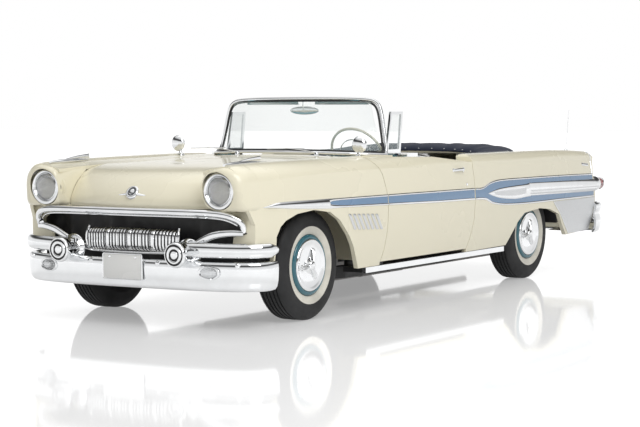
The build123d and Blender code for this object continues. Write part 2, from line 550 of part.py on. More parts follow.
def interior():
    dash_y = HOOD_REAR_Y + 28 + SEAT_GAP
    keep("dashboard", side_prism(
        [(dash_y, 960), (front(1130), 960), (front(1180), 900), (front(1170), 760), (front(1120), 740),
         (dash_y, 800)], -CABIN_HALF_WIDTH + 30, CABIN_HALF_WIDTH - 30))
    wheel_centre = Location((STEERING_X, front(1430), 1003), (-STEERING_TILT, 0, 0))
    column = wheel_centre * (Pos(0, 0, -21 - 150) * Cylinder(22, 300))
    keep("steering_column", column - NODES["dashboard"])
    ring = wheel_centre * Torus(205, 13)
    hub = wheel_centre * Cylinder(40, 40)
    spokes = wheel_centre * Box(400, 26, 12)
    keep("steering_wheel", ring + hub + spokes)
    seat_z = FLOOR_TOP + SEAT_GAP
    seat = [(front(1330), seat_z), (front(1330), 600), (front(1830), 560), (front(1850), seat_z)]
    back = [(front(1800), 565), (front(1900), 985), (front(2010), 985), (front(1960), seat_z),
            (front(1852), seat_z)]
    keep("front_seat_cushion", side_prism(seat, -740, 740))
    keep("front_seat_back", side_prism(back, -740, 740) - NODES["front_seat_cushion"])
    pan_z = REAR_FLOOR_TOP + SEAT_GAP
    cushion = [(rear(-640), pan_z), (rear(-640), 640), (rear(-400), 620), (rear(-400), pan_z)]
    rest = [(rear(-400), pan_z), (rear(-400), 620), (rear(-330), 960), (rear(-250), 960), (rear(-262), 620),
            (rear(-345), pan_z)]
    keep("rear_seat", side_prism(cushion, -555, 555) + side_prism(rest, -555, 555))
    boot = [(rear(-240), 790), (rear(-240), 1010), (rear(-100), 1040), (rear(120), 1030), (rear(250), 985),
            (rear(250), 790)]
    stack = block(-550, 550, rear(-240), rear(250), WELL_FLOOR_TOP + SEAT_GAP, 791)
    keep("top_boot", side_prism(boot, -DECK_HALF_WIDTH + 4, DECK_HALF_WIDTH - 4) + stack)


def mirrors():
    base = rod_z(18, 990, 1040, 735, front(783)) - NODES["front_fender_left"]
    head = Pos(757, front(774), 1089) * (Rot(90, 0, 0) * Cylinder(60, 24))
    stem = rod_z(9, 1030, 1060, 740, front(778))
    keep("side_mirrors", both(base + stem + head))


body_panels()
rocker()
floor_and_frame()
running_gear()
engine_and_exhaust()
bumpers()
grille_parts()
lamps()
windshield()
interior()
mirrors()

os.makedirs("parts", exist_ok=True)
for name, shape in NODES.items():
    export_step(shape, f"parts/{name}.step")
    print(name, round(shape.volume / 1e6, 2))
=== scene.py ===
import json
import math

import bpy
from mathutils import Matrix, Vector
from mathutils.bvhtree import BVHTree

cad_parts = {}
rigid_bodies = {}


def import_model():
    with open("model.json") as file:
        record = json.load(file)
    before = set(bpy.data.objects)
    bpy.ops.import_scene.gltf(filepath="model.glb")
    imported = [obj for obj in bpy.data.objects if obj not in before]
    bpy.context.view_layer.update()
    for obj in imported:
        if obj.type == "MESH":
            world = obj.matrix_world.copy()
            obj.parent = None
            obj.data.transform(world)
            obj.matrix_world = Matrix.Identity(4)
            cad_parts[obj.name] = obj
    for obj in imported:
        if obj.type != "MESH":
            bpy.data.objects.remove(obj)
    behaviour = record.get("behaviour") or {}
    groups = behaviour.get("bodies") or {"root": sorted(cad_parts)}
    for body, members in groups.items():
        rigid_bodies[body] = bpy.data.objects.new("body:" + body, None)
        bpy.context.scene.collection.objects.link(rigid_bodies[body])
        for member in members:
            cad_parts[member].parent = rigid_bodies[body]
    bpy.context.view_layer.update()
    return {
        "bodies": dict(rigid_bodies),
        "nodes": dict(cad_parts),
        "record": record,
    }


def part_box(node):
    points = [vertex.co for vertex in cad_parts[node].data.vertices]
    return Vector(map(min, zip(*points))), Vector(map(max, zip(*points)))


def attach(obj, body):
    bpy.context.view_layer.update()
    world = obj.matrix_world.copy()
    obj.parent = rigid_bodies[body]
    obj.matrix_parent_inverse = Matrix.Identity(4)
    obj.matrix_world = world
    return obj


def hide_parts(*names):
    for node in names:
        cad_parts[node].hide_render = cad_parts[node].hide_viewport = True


bl_info = {
    "name": "Fifties convertible dresser",
    "version": (1, 0, 0),
    "blender": (4, 5, 0),
    "location": "View3D > Sidebar > Convertible",
    "description": "Finishes and trims the packed convertible car",
    "category": "Object",
}

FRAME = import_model()

# Places read from the frame, in metres
TYRE_LOW, TYRE_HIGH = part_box("tyre_front_left")
REAR_LOW, REAR_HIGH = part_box("tyre_rear_left")
FRONT_AXLE_Y = (TYRE_LOW.y + TYRE_HIGH.y) / 2
REAR_AXLE_Y = (REAR_LOW.y + REAR_HIGH.y) / 2


def tone(name, description, default):
    """A colour setting."""
    return bpy.props.FloatVectorProperty(name=name, description=description, subtype="COLOR", default=default)


class Colours(bpy.types.PropertyGroup):
    """Paint and trim colours of the car"""
    body: tone("Body enamel", "Cream paint of the panels", (0.86, 0.81, 0.63))
    stripe: tone("Stripe", "Blue paint of the side stripe", (0.13, 0.25, 0.42))
    wheel: tone("Wheel ring", "Teal paint of the wheels", (0.02, 0.13, 0.17))
    dash: tone("Dashboard", "Teal paint of the dashboard", (0.09, 0.30, 0.34))
    canvas: tone("Cover cloth", "Navy cloth over the folded top", (0.012, 0.02, 0.05))
    leather: tone("Seat leather", "Navy leather of the seats", (0.02, 0.035, 0.08))


class View(bpy.types.PropertyGroup):
    """Where the photograph was taken from"""
    eye: bpy.props.FloatVectorProperty(
        name="Eye", description="Camera position", subtype="TRANSLATION", unit="LENGTH",
        default=(7.033, -11.514, 1.379))
    yaw: bpy.props.FloatProperty(
        name="Yaw", description="Turn from straight ahead", subtype="ANGLE", default=math.radians(32.21))
    pitch: bpy.props.FloatProperty(
        name="Pitch", description="Tilt downwards", subtype="ANGLE", default=math.radians(3.5))
    roll: bpy.props.FloatProperty(
        name="Roll", description="Tilt of the horizon", subtype="ANGLE", default=math.radians(-0.31))
    lens: bpy.props.FloatProperty(
        name="Lens", description="Focal length in millimetres", default=103.0)


class Nodes:
    """Adds and links nodes in one material or world tree."""

    def __init__(self, owner):
        owner.use_nodes = True
        self.tree = owner.node_tree
        self.tree.nodes.clear()

    def add(self, kind, **settings):
        node = self.tree.nodes.new(kind)
        for key, value in settings.items():
            if key in node.inputs.keys():
                node.inputs[key].default_value = value
            else:
                setattr(node, key, value)
        return node

    def link(self, source, target):
        self.tree.links.new(source, target)


MATERIALS = {}
# The weave's threads lie this far apart, in metres
WEAVE_PITCH = 0.0016


def material(name):
    """A new named material's node tree and its Principled shader."""
    made = bpy.data.materials.new(name)
    tree = Nodes(made)
    shader = tree.add("ShaderNodeBsdfPrincipled")
    output = tree.add("ShaderNodeOutputMaterial")
    tree.link(shader.outputs[0], output.inputs[0])
    MATERIALS[name] = made
    return tree, shader


def noise_of(tree, scale, detail=3.0, stretch=(1, 1, 1)):
    """Noise on the piece's own coordinates."""
    place = tree.add("ShaderNodeTexCoord")
    mapping = tree.add("ShaderNodeMapping")
    mapping.inputs["Scale"].default_value = stretch
    tree.link(place.outputs["Object"], mapping.inputs["Vector"])
    noise = tree.add("ShaderNodeTexNoise", Scale=scale, Detail=detail)
    tree.link(mapping.outputs[0], noise.inputs["Vector"])
    return noise


def spread(tree, source, low, high, from_low=0.3, from_high=0.7):
    """Maps a texture's value to a range."""
    ramp = tree.add("ShaderNodeMapRange")
    ramp.inputs["From Min"].default_value = from_low
    ramp.inputs["From Max"].default_value = from_high
    ramp.inputs["To Min"].default_value = low
    ramp.inputs["To Max"].default_value = high
    tree.link(source, ramp.inputs["Value"])
    return ramp.outputs[0]


def bump_of(tree, shader, height, strength, distance):
    """Lets a texture raise the surface."""
    bump = tree.add("ShaderNodeBump", Strength=strength, Distance=distance)
    tree.link(height, bump.inputs["Height"])
    tree.link(bump.outputs[0], shader.inputs["Normal"])


def shade_colour(tree, shader, source, colour, darker=0.9):
    """Lets the colour wander a little between itself and a darker tone."""
    mix = tree.add("ShaderNodeMix", data_type="RGBA")
    mix.inputs["A"].default_value = (*[c * darker for c in colour], 1)
    mix.inputs["B"].default_value = (*colour, 1)
    tree.link(source, mix.inputs["Factor"])
    tree.link(mix.outputs["Result"], shader.inputs["Base Color"])


def enamel(name, colour, darker=0.97):
    """Glossy paint with a thin clear coat and a little orange peel."""
    tree, shader = material(name)
    shader.inputs["Coat Weight"].default_value = 0.55
    shader.inputs["Coat Roughness"].default_value = 0.04
    shader.inputs["IOR"].default_value = 1.45
    broad = noise_of(tree, 1.6, 4.0)
    shade_colour(tree, shader, spread(tree, broad.outputs[0], 0, 1), colour, darker)
    tree.link(spread(tree, broad.outputs[0], 0.22, 0.34), shader.inputs["Roughness"])
    peel = noise_of(tree, 420, 1.0)
    bump_of(tree, shader, peel.outputs[0], 0.02, 0.0004)


def polished(name, colour=(0.80, 0.81, 0.82), low=0.03, high=0.09, stretch=(1, 1, 1), scale=14):
    """Bare or plated metal with a faint haze."""
    tree, shader = material(name)
    shader.inputs["Metallic"].default_value = 1.0
    haze = noise_of(tree, scale, 5.0, stretch)
    shade_colour(tree, shader, spread(tree, haze.outputs[0], 0, 1), colour, 0.94)
    tree.link(spread(tree, haze.outputs[0], low, high), shader.inputs["Roughness"])


def rubber(name, colour, bump_scale=700, rough=(0.62, 0.8)):
    """Rubber, satin paint or cast metal with a fine grain."""
    tree, shader = material(name)
    dust = noise_of(tree, 9, 6.0)
    shade_colour(tree, shader, spread(tree, dust.outputs[0], 0, 1), colour, 0.75)
    tree.link(spread(tree, dust.outputs[0], rough[1], rough[0]), shader.inputs["Roughness"])
    grain = noise_of(tree, bump_scale, 2.0)
    bump_of(tree, shader, grain.outputs[0], 0.15, 0.0006)


def leather(name, colour):
    """Grained leather."""
    tree, shader = material(name)
    wear = noise_of(tree, 6, 5.0)
    shade_colour(tree, shader, spread(tree, wear.outputs[0], 0, 1), colour, 0.72)
    tree.link(spread(tree, wear.outputs[0], 0.36, 0.55), shader.inputs["Roughness"])
    place = tree.add("ShaderNodeTexCoord")
    grain = tree.add("ShaderNodeTexVoronoi", Scale=420)
    tree.link(place.outputs["Object"], grain.inputs["Vector"])
    bump_of(tree, shader, grain.outputs["Distance"], 0.25, 0.0006)


def woven(name, colour):
    """A plain weave made of crossed waves."""
    tree, shader = material(name)
    place = tree.add("ShaderNodeTexCoord")
    waves = []
    for direction in ("X", "Y"):
        wave = tree.add("ShaderNodeTexWave", bands_direction=direction, Scale=1 / (WEAVE_PITCH * 20),
                        Distortion=0.3)
        tree.link(place.outputs["Object"], wave.inputs["Vector"])
        waves.append(wave.outputs["Fac"])
    crossed = tree.add("ShaderNodeMath", operation="MULTIPLY")
    tree.link(waves[0], crossed.inputs[0])
    tree.link(waves[1], crossed.inputs[1])
    shade_colour(tree, shader, spread(tree, crossed.outputs[0], 0, 1, 0, 1), colour, 0.6)
    shader.inputs["Roughness"].default_value = 0.85
    shader.inputs["Sheen Weight"].default_value = 0.08
    bump_of(tree, shader, crossed.outputs[0], 0.4, 0.0008)


def clear_glass(name, tint, alpha):
    """Thin glass, seen through by its alpha."""
    tree, shader = material(name)
    smear = noise_of(tree, 5, 4.0)
    shader.inputs["Base Color"].default_value = (*tint, 1)
    tree.link(spread(tree, smear.outputs[0], 0.01, 0.03), shader.inputs["Roughness"])
    shader.inputs["Alpha"].default_value = alpha
    shader.inputs["IOR"].default_value = 1.5


def lamp_glass(name, tint, ribs, direction="X"):
    """Pressed lamp glass with fine ribs."""
    tree, shader = material(name)
    place = tree.add("ShaderNodeTexCoord")
    wave = tree.add("ShaderNodeTexWave", bands_direction=direction, Scale=ribs)
    tree.link(place.outputs["Object"], wave.inputs["Vector"])
    shade_colour(tree, shader, wave.outputs["Fac"], tint, 0.8)
    shader.inputs["Roughness"].default_value = 0.08
    shader.inputs["Transmission Weight"].default_value = 0.8
    shader.inputs["Coat Weight"].default_value = 1.0
    bump_of(tree, shader, wave.outputs["Fac"], 0.5, 0.002)


def make_materials():
    """Every finish of the car."""
    colours = bpy.context.scene.convertible_colours
    enamel("cream_enamel", tuple(colours.body))
    enamel("blue_enamel", tuple(colours.stripe))
    enamel("teal_enamel", tuple(colours.wheel))
    enamel("dash_enamel", tuple(colours.dash), 0.9)
    enamel("cream_plastic", (0.80, 0.74, 0.58))
    enamel("plate_enamel", (0.82, 0.82, 0.80))
    polished("bright_chrome")
    # brushed_aluminium_and_shade is real brushed metal on the pod's inlay, the rear panel and the louvre
    # marks, and painted shade on the tail tube's underside
    polished("brushed_aluminium_and_shade", (0.66, 0.67, 0.68), 0.25, 0.42, (6, 0.4, 60), 30)
    polished("bare_steel", (0.32, 0.31, 0.30), 0.35, 0.6)
    rubber("tyre_rubber", (0.018, 0.018, 0.019))
    rubber("white_rubber", (0.80, 0.77, 0.68), 500, (0.45, 0.6))
    # black_satin_and_shade is real black satin paint on the frame, floor, seals and dials, and painted shade
    # in the grille's recesses, behind the grille, round the headlamps and in the bullets' grooves
    rubber("black_satin_and_shade", (0.012, 0.012, 0.013), 300, (0.4, 0.6))
    # cast_iron_and_shade is real cast iron on the iron parts, and painted shade in the groove of the hood's
    # badge
    rubber("cast_iron_and_shade", (0.10, 0.11, 0.12), 240, (0.5, 0.7))
    leather("seat_leather", tuple(colours.leather))
    woven("cover_cloth", tuple(colours.canvas))
    clear_glass("window_glass", (0.75, 0.85, 0.83), 0.14)
    lamp_glass("clear_lamp", (0.95, 0.96, 0.97), 34)
    lamp_glass("red_lamp", (0.45, 0.01, 0.01), 80, "Z")


SLOT_FINISH = {
    "body_paint": "cream_enamel",
    "chrome": "bright_chrome",
    "frame_paint": "black_satin_and_shade",
    "tyre_rubber": "tyre_rubber",
    "wheel_paint": "teal_enamel",
    "iron": "cast_iron_and_shade",
    "steel": "bare_steel",
    "floor_paint": "black_satin_and_shade",
    "glass": "window_glass",
    "lamp_glass": "clear_lamp",
    "red_glass": "red_lamp",
    "dash": "dash_enamel",
    "cream_plastic": "cream_plastic",
    "seat_leather": "seat_leather",
    "boot_fabric": "cover_cloth",
    "plate": "plate_enamel",
}

MM = 0.001
UP = Vector((0, 0, 1))
AHEAD = Vector((0, -1, 0))
BACK = Vector((0, 1, 0))
OUT = Vector((1, 0, 0))
# The left side's panels, whose skin the trim lies on
FENDER, DOOR, QUARTER, DECK = ("front_fender_left",), ("door_left",), ("quarter_left",), ("deck_lid",)
# Where rays start, outside the car, and the heights tried above and below a place that a seam swallows
FAR = 1500
SEARCH = (0, 8, 16, 30, 50)
# Trim stands this far off the skin, in millimetres, and thin trim has this wall, in metres
STANDOFF = 0.8
SHEET = 0.003
# Edges sharper than this many degrees stay sharp
SMOOTH = 38
TREES = {}


def deselect():
    """Leaves nothing selected."""
    for chosen in bpy.context.selected_objects:
        chosen.select_set(False)


def pick(piece):
    """Makes one piece the active and only selected object."""
    deselect()
    bpy.context.view_layer.objects.active = piece
    piece.select_set(True)


def at(x, y, z):
    """A place given in millimetres, with y counted back from the front axle."""
    return Vector((x * MM, FRONT_AXLE_Y + y * MM, z * MM))


def through(*places):
    """Several such places."""
    return [at(*place) for place in places]


def cast(node, start, direction):
    """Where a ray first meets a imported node, or None."""
    if node not in TREES:
        mesh = FRAME["nodes"][node].data
        TREES[node] = BVHTree.FromPolygons(
            [vertex.co for vertex in mesh.vertices], [face.vertices for face in mesh.polygons])
    return TREES[node].ray_cast(start, direction)[0]


def skin_x(nodes, y, z):
    """How far out the left side's skin lies, in millimetres, at one place of a side view."""
    for node in nodes:
        for low in SEARCH:
            for lift in (low, -low):
                found = cast(node, at(FAR, y, z + lift), -OUT)
                if found and found.x > 0.5:
                    return found.x / MM
    return 900.0


def skin_z(nodes, x, y, spare):
    """How high the skin lies over one place of a plan view, in millimetres."""
    for node in nodes:
        found = cast(node, at(x, y, FAR), -UP)
        if found:
            return found.z / MM
    return spare


def along(table, value):
    """Reads a smooth curve through a table's pairs."""
    if value <= table[0][0]:
        return table[0][1]
    if value >= table[-1][0]:
        return table[-1][1]
    place = next(i for i in range(1, len(table)) if value <= table[i][0])
    start, low = table[place - 1]
    end, high = table[place]
    span = end - start
    slopes = []
    for i in (place - 1, place):
        before, after = table[max(i - 1, 0)], table[min(i + 1, len(table) - 1)]
        slopes.append((after[1] - before[1]) / (after[0] - before[0]))
    t = (value - start) / span
    return (low * (1 + 2 * t) * (1 - t) ** 2 + slopes[0] * span * t * (1 - t) ** 2
            + high * t * t * (3 - 2 * t) + slopes[1] * span * t * t * (t - 1))


def path_through(points):
    """A smooth path through places, as a function of 0 to 1."""
    reach = [0.0]
    for here, following in zip(points, points[1:]):
        reach.append(reach[-1] + (following - here).length)
    tables = [[(r, p[i]) for r, p in zip(reach, points)] for i in range(3)]
    return lambda u: Vector([along(table, u * reach[-1]) for table in tables])


def mirror_points(points):
    """Left-hand places followed by their mirror images, the first on the left end."""
    return points + [Vector((-p.x, p.y, p.z)) for p in reversed(points) if abs(p.x) > 1e-6]


def edit(piece, *actions):
    """Runs edit-mode operators on the whole of a piece."""
    pick(piece)
    bpy.ops.object.mode_set(mode="EDIT")
    bpy.ops.mesh.select_all(action="SELECT")
    for action in actions:
        action()
    bpy.ops.object.mode_set(mode="OBJECT")
    return piece


def weld():
    """Merges the points that lie on one another."""
    bpy.ops.mesh.remove_doubles(threshold=0.00002)


def face_out():
    """Points every face outwards."""
    bpy.ops.mesh.normals_make_consistent(inside=False)


def close_holes():
    """Fills every open rim."""
    bpy.ops.mesh.fill_holes(sides=0)


def apply(piece, kind, **settings):
    """Adds a modifier, sets it and applies it."""
    pick(piece)
    bpy.ops.object.modifier_add(type=kind)
    modifier = piece.modifiers[-1]
    for key, value in settings.items():
        setattr(modifier, key, value)
    bpy.ops.object.modifier_apply(modifier=modifier.name)
    return piece


def smooth(piece, angle=SMOOTH):
    """Shades a piece smooth, apart from its sharp edges."""
    pick(piece)
    bpy.ops.object.shade_smooth_by_angle(angle=math.radians(angle))
    return piece


def walled(piece, thickness, angle=SMOOTH):
    """Gives a surface a wall on its inner side, and smooths it."""
    return smooth(apply(piece, "SOLIDIFY", thickness=thickness, offset=-1), angle)


def flip(piece):
    """Turns a surface inside out."""
    return edit(piece, bpy.ops.mesh.flip_normals)


def turn_towards(piece, direction):
    """Flips a surface whose faces mostly point the other way."""
    if sum(face.normal.dot(direction) for face in piece.data.polygons) < 0:
        flip(piece)


def shaped_grid(columns, rows, place):
    """A grid whose points are put at place(u, v), with u and v from 0 to 1."""
    deselect()
    bpy.ops.mesh.primitive_grid_add(x_subdivisions=columns, y_subdivisions=rows, size=2)
    made = bpy.context.object
    for vertex in made.data.vertices:
        vertex.co = place((vertex.co.x + 1) / 2, (vertex.co.y + 1) / 2)
    return made


def drawn(points):
    """A line of edges through places."""
    deselect()
    bpy.ops.mesh.primitive_circle_add(vertices=len(points), radius=1)
    line = bpy.context.object
    for vertex, place in zip(line.data.vertices, points):
        vertex.co = place
    bpy.ops.object.mode_set(mode="EDIT")
    bpy.ops.mesh.select_mode(type="EDGE")
    bpy.ops.mesh.select_all(action="DESELECT")
    bpy.ops.object.mode_set(mode="OBJECT")
    ends = {0, len(points) - 1}
    for drawn_edge in line.data.edges:
        drawn_edge.select = set(drawn_edge.vertices) == ends
    bpy.ops.object.mode_set(mode="EDIT")
    bpy.ops.mesh.delete(type="EDGE")
    bpy.ops.mesh.select_mode(type="VERT")
    bpy.ops.object.mode_set(mode="OBJECT")
    return line


def turned(profile, centre, axis, steps=48):
    """Spins a line of (radius, distance along the axis) pairs, in millimetres."""
    axis = axis.normalized()
    across = UP if abs(axis.z) < 0.9 else OUT
    across = (across - axis * across.dot(axis)).normalized()
    line = drawn([centre + across * (radius * MM) + axis * (depth * MM) for radius, depth in profile])
    edit(line, lambda: bpy.ops.mesh.spin(steps=steps, angle=2 * math.pi, center=centre, axis=axis),
         lambda: bpy.ops.mesh.select_all(action="SELECT"), weld, face_out)
    return smooth(line)


def swept(points, section, outward, columns=60, swell=None, smooth_angle=SMOOTH):
    """Carries a closed section of (outwards, sideways) pairs, in millimetres, through places.
    With no outward line the section's second number is upwards. swell(u) scales the section."""
    path = path_through(points)
    last = len(section)

    def place(u, v):
        centre = path(u)
        step = 0.004
        heading = (path(min(u + step, 1)) - path(max(u - step, 0))).normalized()
        if outward:
            out = (outward - heading * outward.dot(heading)).normalized()
            side = heading.cross(out)
        else:
            side = (UP - heading * heading.z).normalized()
            out = side.cross(heading)
        away, over = section[round(v * last) % last]
        size = swell(u) if swell else 1.0
        return centre + out * (away * size * MM) + side * (over * size * MM)

    made = shaped_grid(columns, last, place)
    edit(made, weld, close_holes, face_out)
    return smooth(made, smooth_angle)


def oval(half_out, half_side, count=16, power=1.0):
    """A closed oval section; power below 1 squares it off."""
    points = []
    for i in range(count):
        turn = 2 * math.pi * i / count
        c, s = math.cos(turn), math.sin(turn)
        points.append((half_out * math.copysign(abs(c) ** power, c),
                       half_side * math.copysign(abs(s) ** power, s)))
    return points


def rod(points, radius, taper=1.0):
    """A round bar through places, whose last end is taper times as thick as the first."""
    reference = UP if abs((points[-1] - points[0]).normalized().z) < 0.8 else AHEAD
    return swept(points, oval(radius, radius, 12), reference, 6 * len(points), lambda u: 1 + (taper - 1) * u)


def block(low, high, radius=4, segments=3):
    """A box between two corners with rounded edges."""
    deselect()
    bpy.ops.mesh.primitive_cube_add(size=1, location=(low + high) / 2)
    made = bpy.context.object
    made.scale = high - low
    bpy.ops.object.transform_apply(location=True, rotation=True, scale=True)
    apply(made, "BEVEL", width=radius * MM, segments=segments)
    return smooth(made, 30)


def paint(piece, finish, test):
    """Gives the faces that pass a test another finish."""
    piece.data.materials.append(MATERIALS[finish])
    number = len(piece.data.materials) - 1
    for face in piece.data.polygons:
        if test(face.center, face.normal):
            face.material_index = number


def keep(piece, name, finish="bright_chrome", body="body", replaced=(), painted=()):
    """Names a piece, finishes it and lets it ride on a body."""
    piece.name = name
    piece.data.name = name
    piece.data.materials.clear()
    piece.data.materials.append(MATERIALS[finish])
    for other, test in painted:
        paint(piece, other, test)
    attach(piece, body)
    if replaced:
        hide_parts(*replaced)
    return piece


def twin(piece):
    """A mirror image of a left-hand piece."""
    other = piece.copy()
    other.data = piece.data.copy()
    bpy.context.collection.objects.link(other)
    other.data.transform(Matrix.Scale(-1, 4, (1, 0, 0)))
    other.data.flip_normals()
    return other


def keep_pair(piece, name, finish="bright_chrome", body="body", replaced=(), painted=(), whole=None):
    """Keeps a left-hand piece and its mirror image, and hides a whole node of both sides when one is given.
    """
    other = twin(piece)
    for made, side in ((piece, "left"), (other, "right")):
        carrier = body if body in FRAME["bodies"] else f"{body}_{side}"
        keep(made, f"{name}_{side}", finish, carrier, [f"{node}_{side}" for node in replaced], painted)
    if whole:
        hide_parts(whole)


def joined(pieces):
    """One piece out of several."""
    deselect()
    for piece in pieces:
        piece.select_set(True)
    bpy.context.view_layer.objects.active = pieces[0]
    bpy.ops.object.join()
    return pieces[0]


def stretched(piece, centre, scales):
    """Stretches a piece about a place."""
    move = Matrix.Translation(centre) @ Matrix.Diagonal((*scales, 1)) @ Matrix.Translation(-centre)
    piece.data.transform(move)
    return piece


class CONVERTIBLE_OT_finishes(bpy.types.Operator):
    """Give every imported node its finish"""
    bl_idname = "convertible.finishes"
    bl_label = "Finish the packed nodes"

    def execute(self, context):
        make_materials()
        slots = {entry["node"]: entry["material_slot"] for entry in FRAME["record"]["subparts"]}
        for name, node in FRAME["nodes"].items():
            finish = MATERIALS[SLOT_FINISH[slots[name]]]
            for place in node.material_slots:
                place.material = finish
        return {"FINISHED"}


class CONVERTIBLE_OT_stage(bpy.types.Operator):
    """Lay the floor, light it and place the camera"""
    bl_idname = "convertible.stage"
    bl_label = "Set the stage"

    FLOOR_SIZE = 120
    # How much of the lamps' light the floor adds where the camera or a mirror sees it
    FLOOR_GLOW = 0.30
    # What bright metal reflects, as (height, brightness), with a dark band above the horizon
    BANDS = ((0.50, 1.0), (0.60, 0.92), (0.66, 0.10), (0.74, 0.05), (0.80, 0.55), (0.88, 0.95))
    # The world's brightness on the object, where 1 is what the camera sees
    AMBIENT = 0.62
    # Each lamp as (name, place, size, watts, aim)
    LAMPS = (("key_softbox", (6.0, -5.0, 6.0), 5.0, 290, (0, 0, 0.5)),
             ("top_softbox", (0.0, 0.5, 7.0), 7.0, 84, (0, 0, 0)))
    FILM_WIDTH = 36.0

    def execute(self, context):
        self.lay_floor()
        self.light_world(context)
        self.hang_lamps()
        self.place_camera(context)
        return {"FINISHED"}

    def lay_floor(self):
        """A pale floor that mirrors a little, and is white to the camera."""
        deselect()
        bpy.ops.mesh.primitive_plane_add(size=self.FLOOR_SIZE)
        floor = bpy.context.object
        floor.name = "studio_floor"
        made = bpy.data.materials.new("studio_floor")
        tree = Nodes(made)
        shader = tree.add("ShaderNodeBsdfPrincipled", Roughness=0.06)
        shader.inputs["Base Color"].default_value = (0.86, 0.86, 0.86, 1)
        shader.inputs["Specular IOR Level"].default_value = 0.6
        path = tree.add("ShaderNodeLightPath")
        lift = tree.add("ShaderNodeMath", operation="MAXIMUM")
        tree.link(path.outputs["Is Camera Ray"], lift.inputs[0])
        tree.link(path.outputs["Is Glossy Ray"], lift.inputs[1])
        strength = tree.add("ShaderNodeMath", operation="MULTIPLY")
        strength.inputs[1].default_value = self.FLOOR_GLOW
        tree.link(lift.outputs[0], strength.inputs[0])
        shader.inputs["Emission Color"].default_value = (1, 1, 1, 1)
        tree.link(strength.outputs[0], shader.inputs["Emission Strength"])
        output = tree.add("ShaderNodeOutputMaterial")
        tree.link(shader.outputs[0], output.inputs[0])
        floor.data.materials.append(made)

    def light_world(self, context):
        """White to the camera, softer on the object, and with dark bands in what metal reflects."""
        world = bpy.data.worlds.new("studio")
        context.scene.world = world
        tree = Nodes(world)
        path = tree.add("ShaderNodeLightPath")
        place = tree.add("ShaderNodeTexCoord")
        parts = tree.add("ShaderNodeSeparateXYZ")
        tree.link(place.outputs["Generated"], parts.inputs[0])
        bands = tree.add("ShaderNodeValToRGB")
        tones = bands.color_ramp.elements
        tones[0].position, tones[0].color = 0.0, (1, 1, 1, 1)
        tones[1].position, tones[1].color = 1.0, (0.9, 0.9, 0.9, 1)
        for position, tone in self.BANDS:
            element = tones.new(position)
            element.color = (tone, tone, tone, 1)
        lift = tree.add("ShaderNodeMapRange")
        lift.inputs["From Min"].default_value = -1
        lift.inputs["From Max"].default_value = 1
        tree.link(parts.outputs["Z"], lift.inputs["Value"])
        tree.link(lift.outputs[0], bands.inputs[0])
        seen = tree.add("ShaderNodeMath", operation="MAXIMUM")
        tree.link(path.outputs["Is Camera Ray"], seen.inputs[0])
        tree.link(path.outputs["Is Transmission Ray"], seen.inputs[1])
        plain = tree.add("ShaderNodeMapRange")
        plain.inputs["To Min"].default_value = self.AMBIENT
        plain.inputs["To Max"].default_value = 1.0
        tree.link(seen.outputs[0], plain.inputs["Value"])
        strength = tree.add("ShaderNodeMix", data_type="FLOAT")
        tree.link(path.outputs["Is Glossy Ray"], strength.inputs["Factor"])
        tree.link(plain.outputs[0], strength.inputs["A"])
        tree.link(bands.outputs[0], strength.inputs["B"])
        light = tree.add("ShaderNodeBackground", Color=(1, 1, 1, 1))
        tree.link(strength.outputs[0], light.inputs["Strength"])
        output = tree.add("ShaderNodeOutputWorld")
        tree.link(light.outputs[0], output.inputs[0])

    def hang_lamps(self):
        """Two soft boxes: one from the front left, one overhead."""
        for name, place, size, power, aim in self.LAMPS:
            lamp_data = bpy.data.lights.new(name, "AREA")
            lamp_data.size = size
            lamp_data.energy = power
            lamp = bpy.data.objects.new(name, lamp_data)
            bpy.context.collection.objects.link(lamp)
            lamp.location = place
            aim_line = Vector(aim) - Vector(place)
            lamp.rotation_euler = aim_line.to_track_quat("-Z", "Y").to_euler()

    def place_camera(self, context):
        """The camera of the photograph."""
        view = context.scene.convertible_view
        yaw, pitch, roll = view.yaw, view.pitch, view.roll
        ahead = Vector((-math.sin(yaw) * math.cos(pitch), math.cos(yaw) * math.cos(pitch), -math.sin(pitch)))
        level = Vector((math.cos(yaw), math.sin(yaw), 0))
        above = level.cross(ahead)
        right = math.cos(roll) * level + math.sin(roll) * above
        up = -math.sin(roll) * level + math.cos(roll) * above
        camera_data = bpy.data.cameras.new("photo_camera")
        camera_data.lens = view.lens
        camera_data.sensor_width = self.FILM_WIDTH
        camera = bpy.data.objects.new("photo_camera", camera_data)
        bpy.context.collection.objects.link(camera)
        turn = Matrix((right, up, -ahead)).transposed().to_4x4()
        camera.matrix_world = Matrix.Translation(view.eye) @ turn
        context.scene.camera = camera
        context.scene.view_settings.view_transform = "Standard"


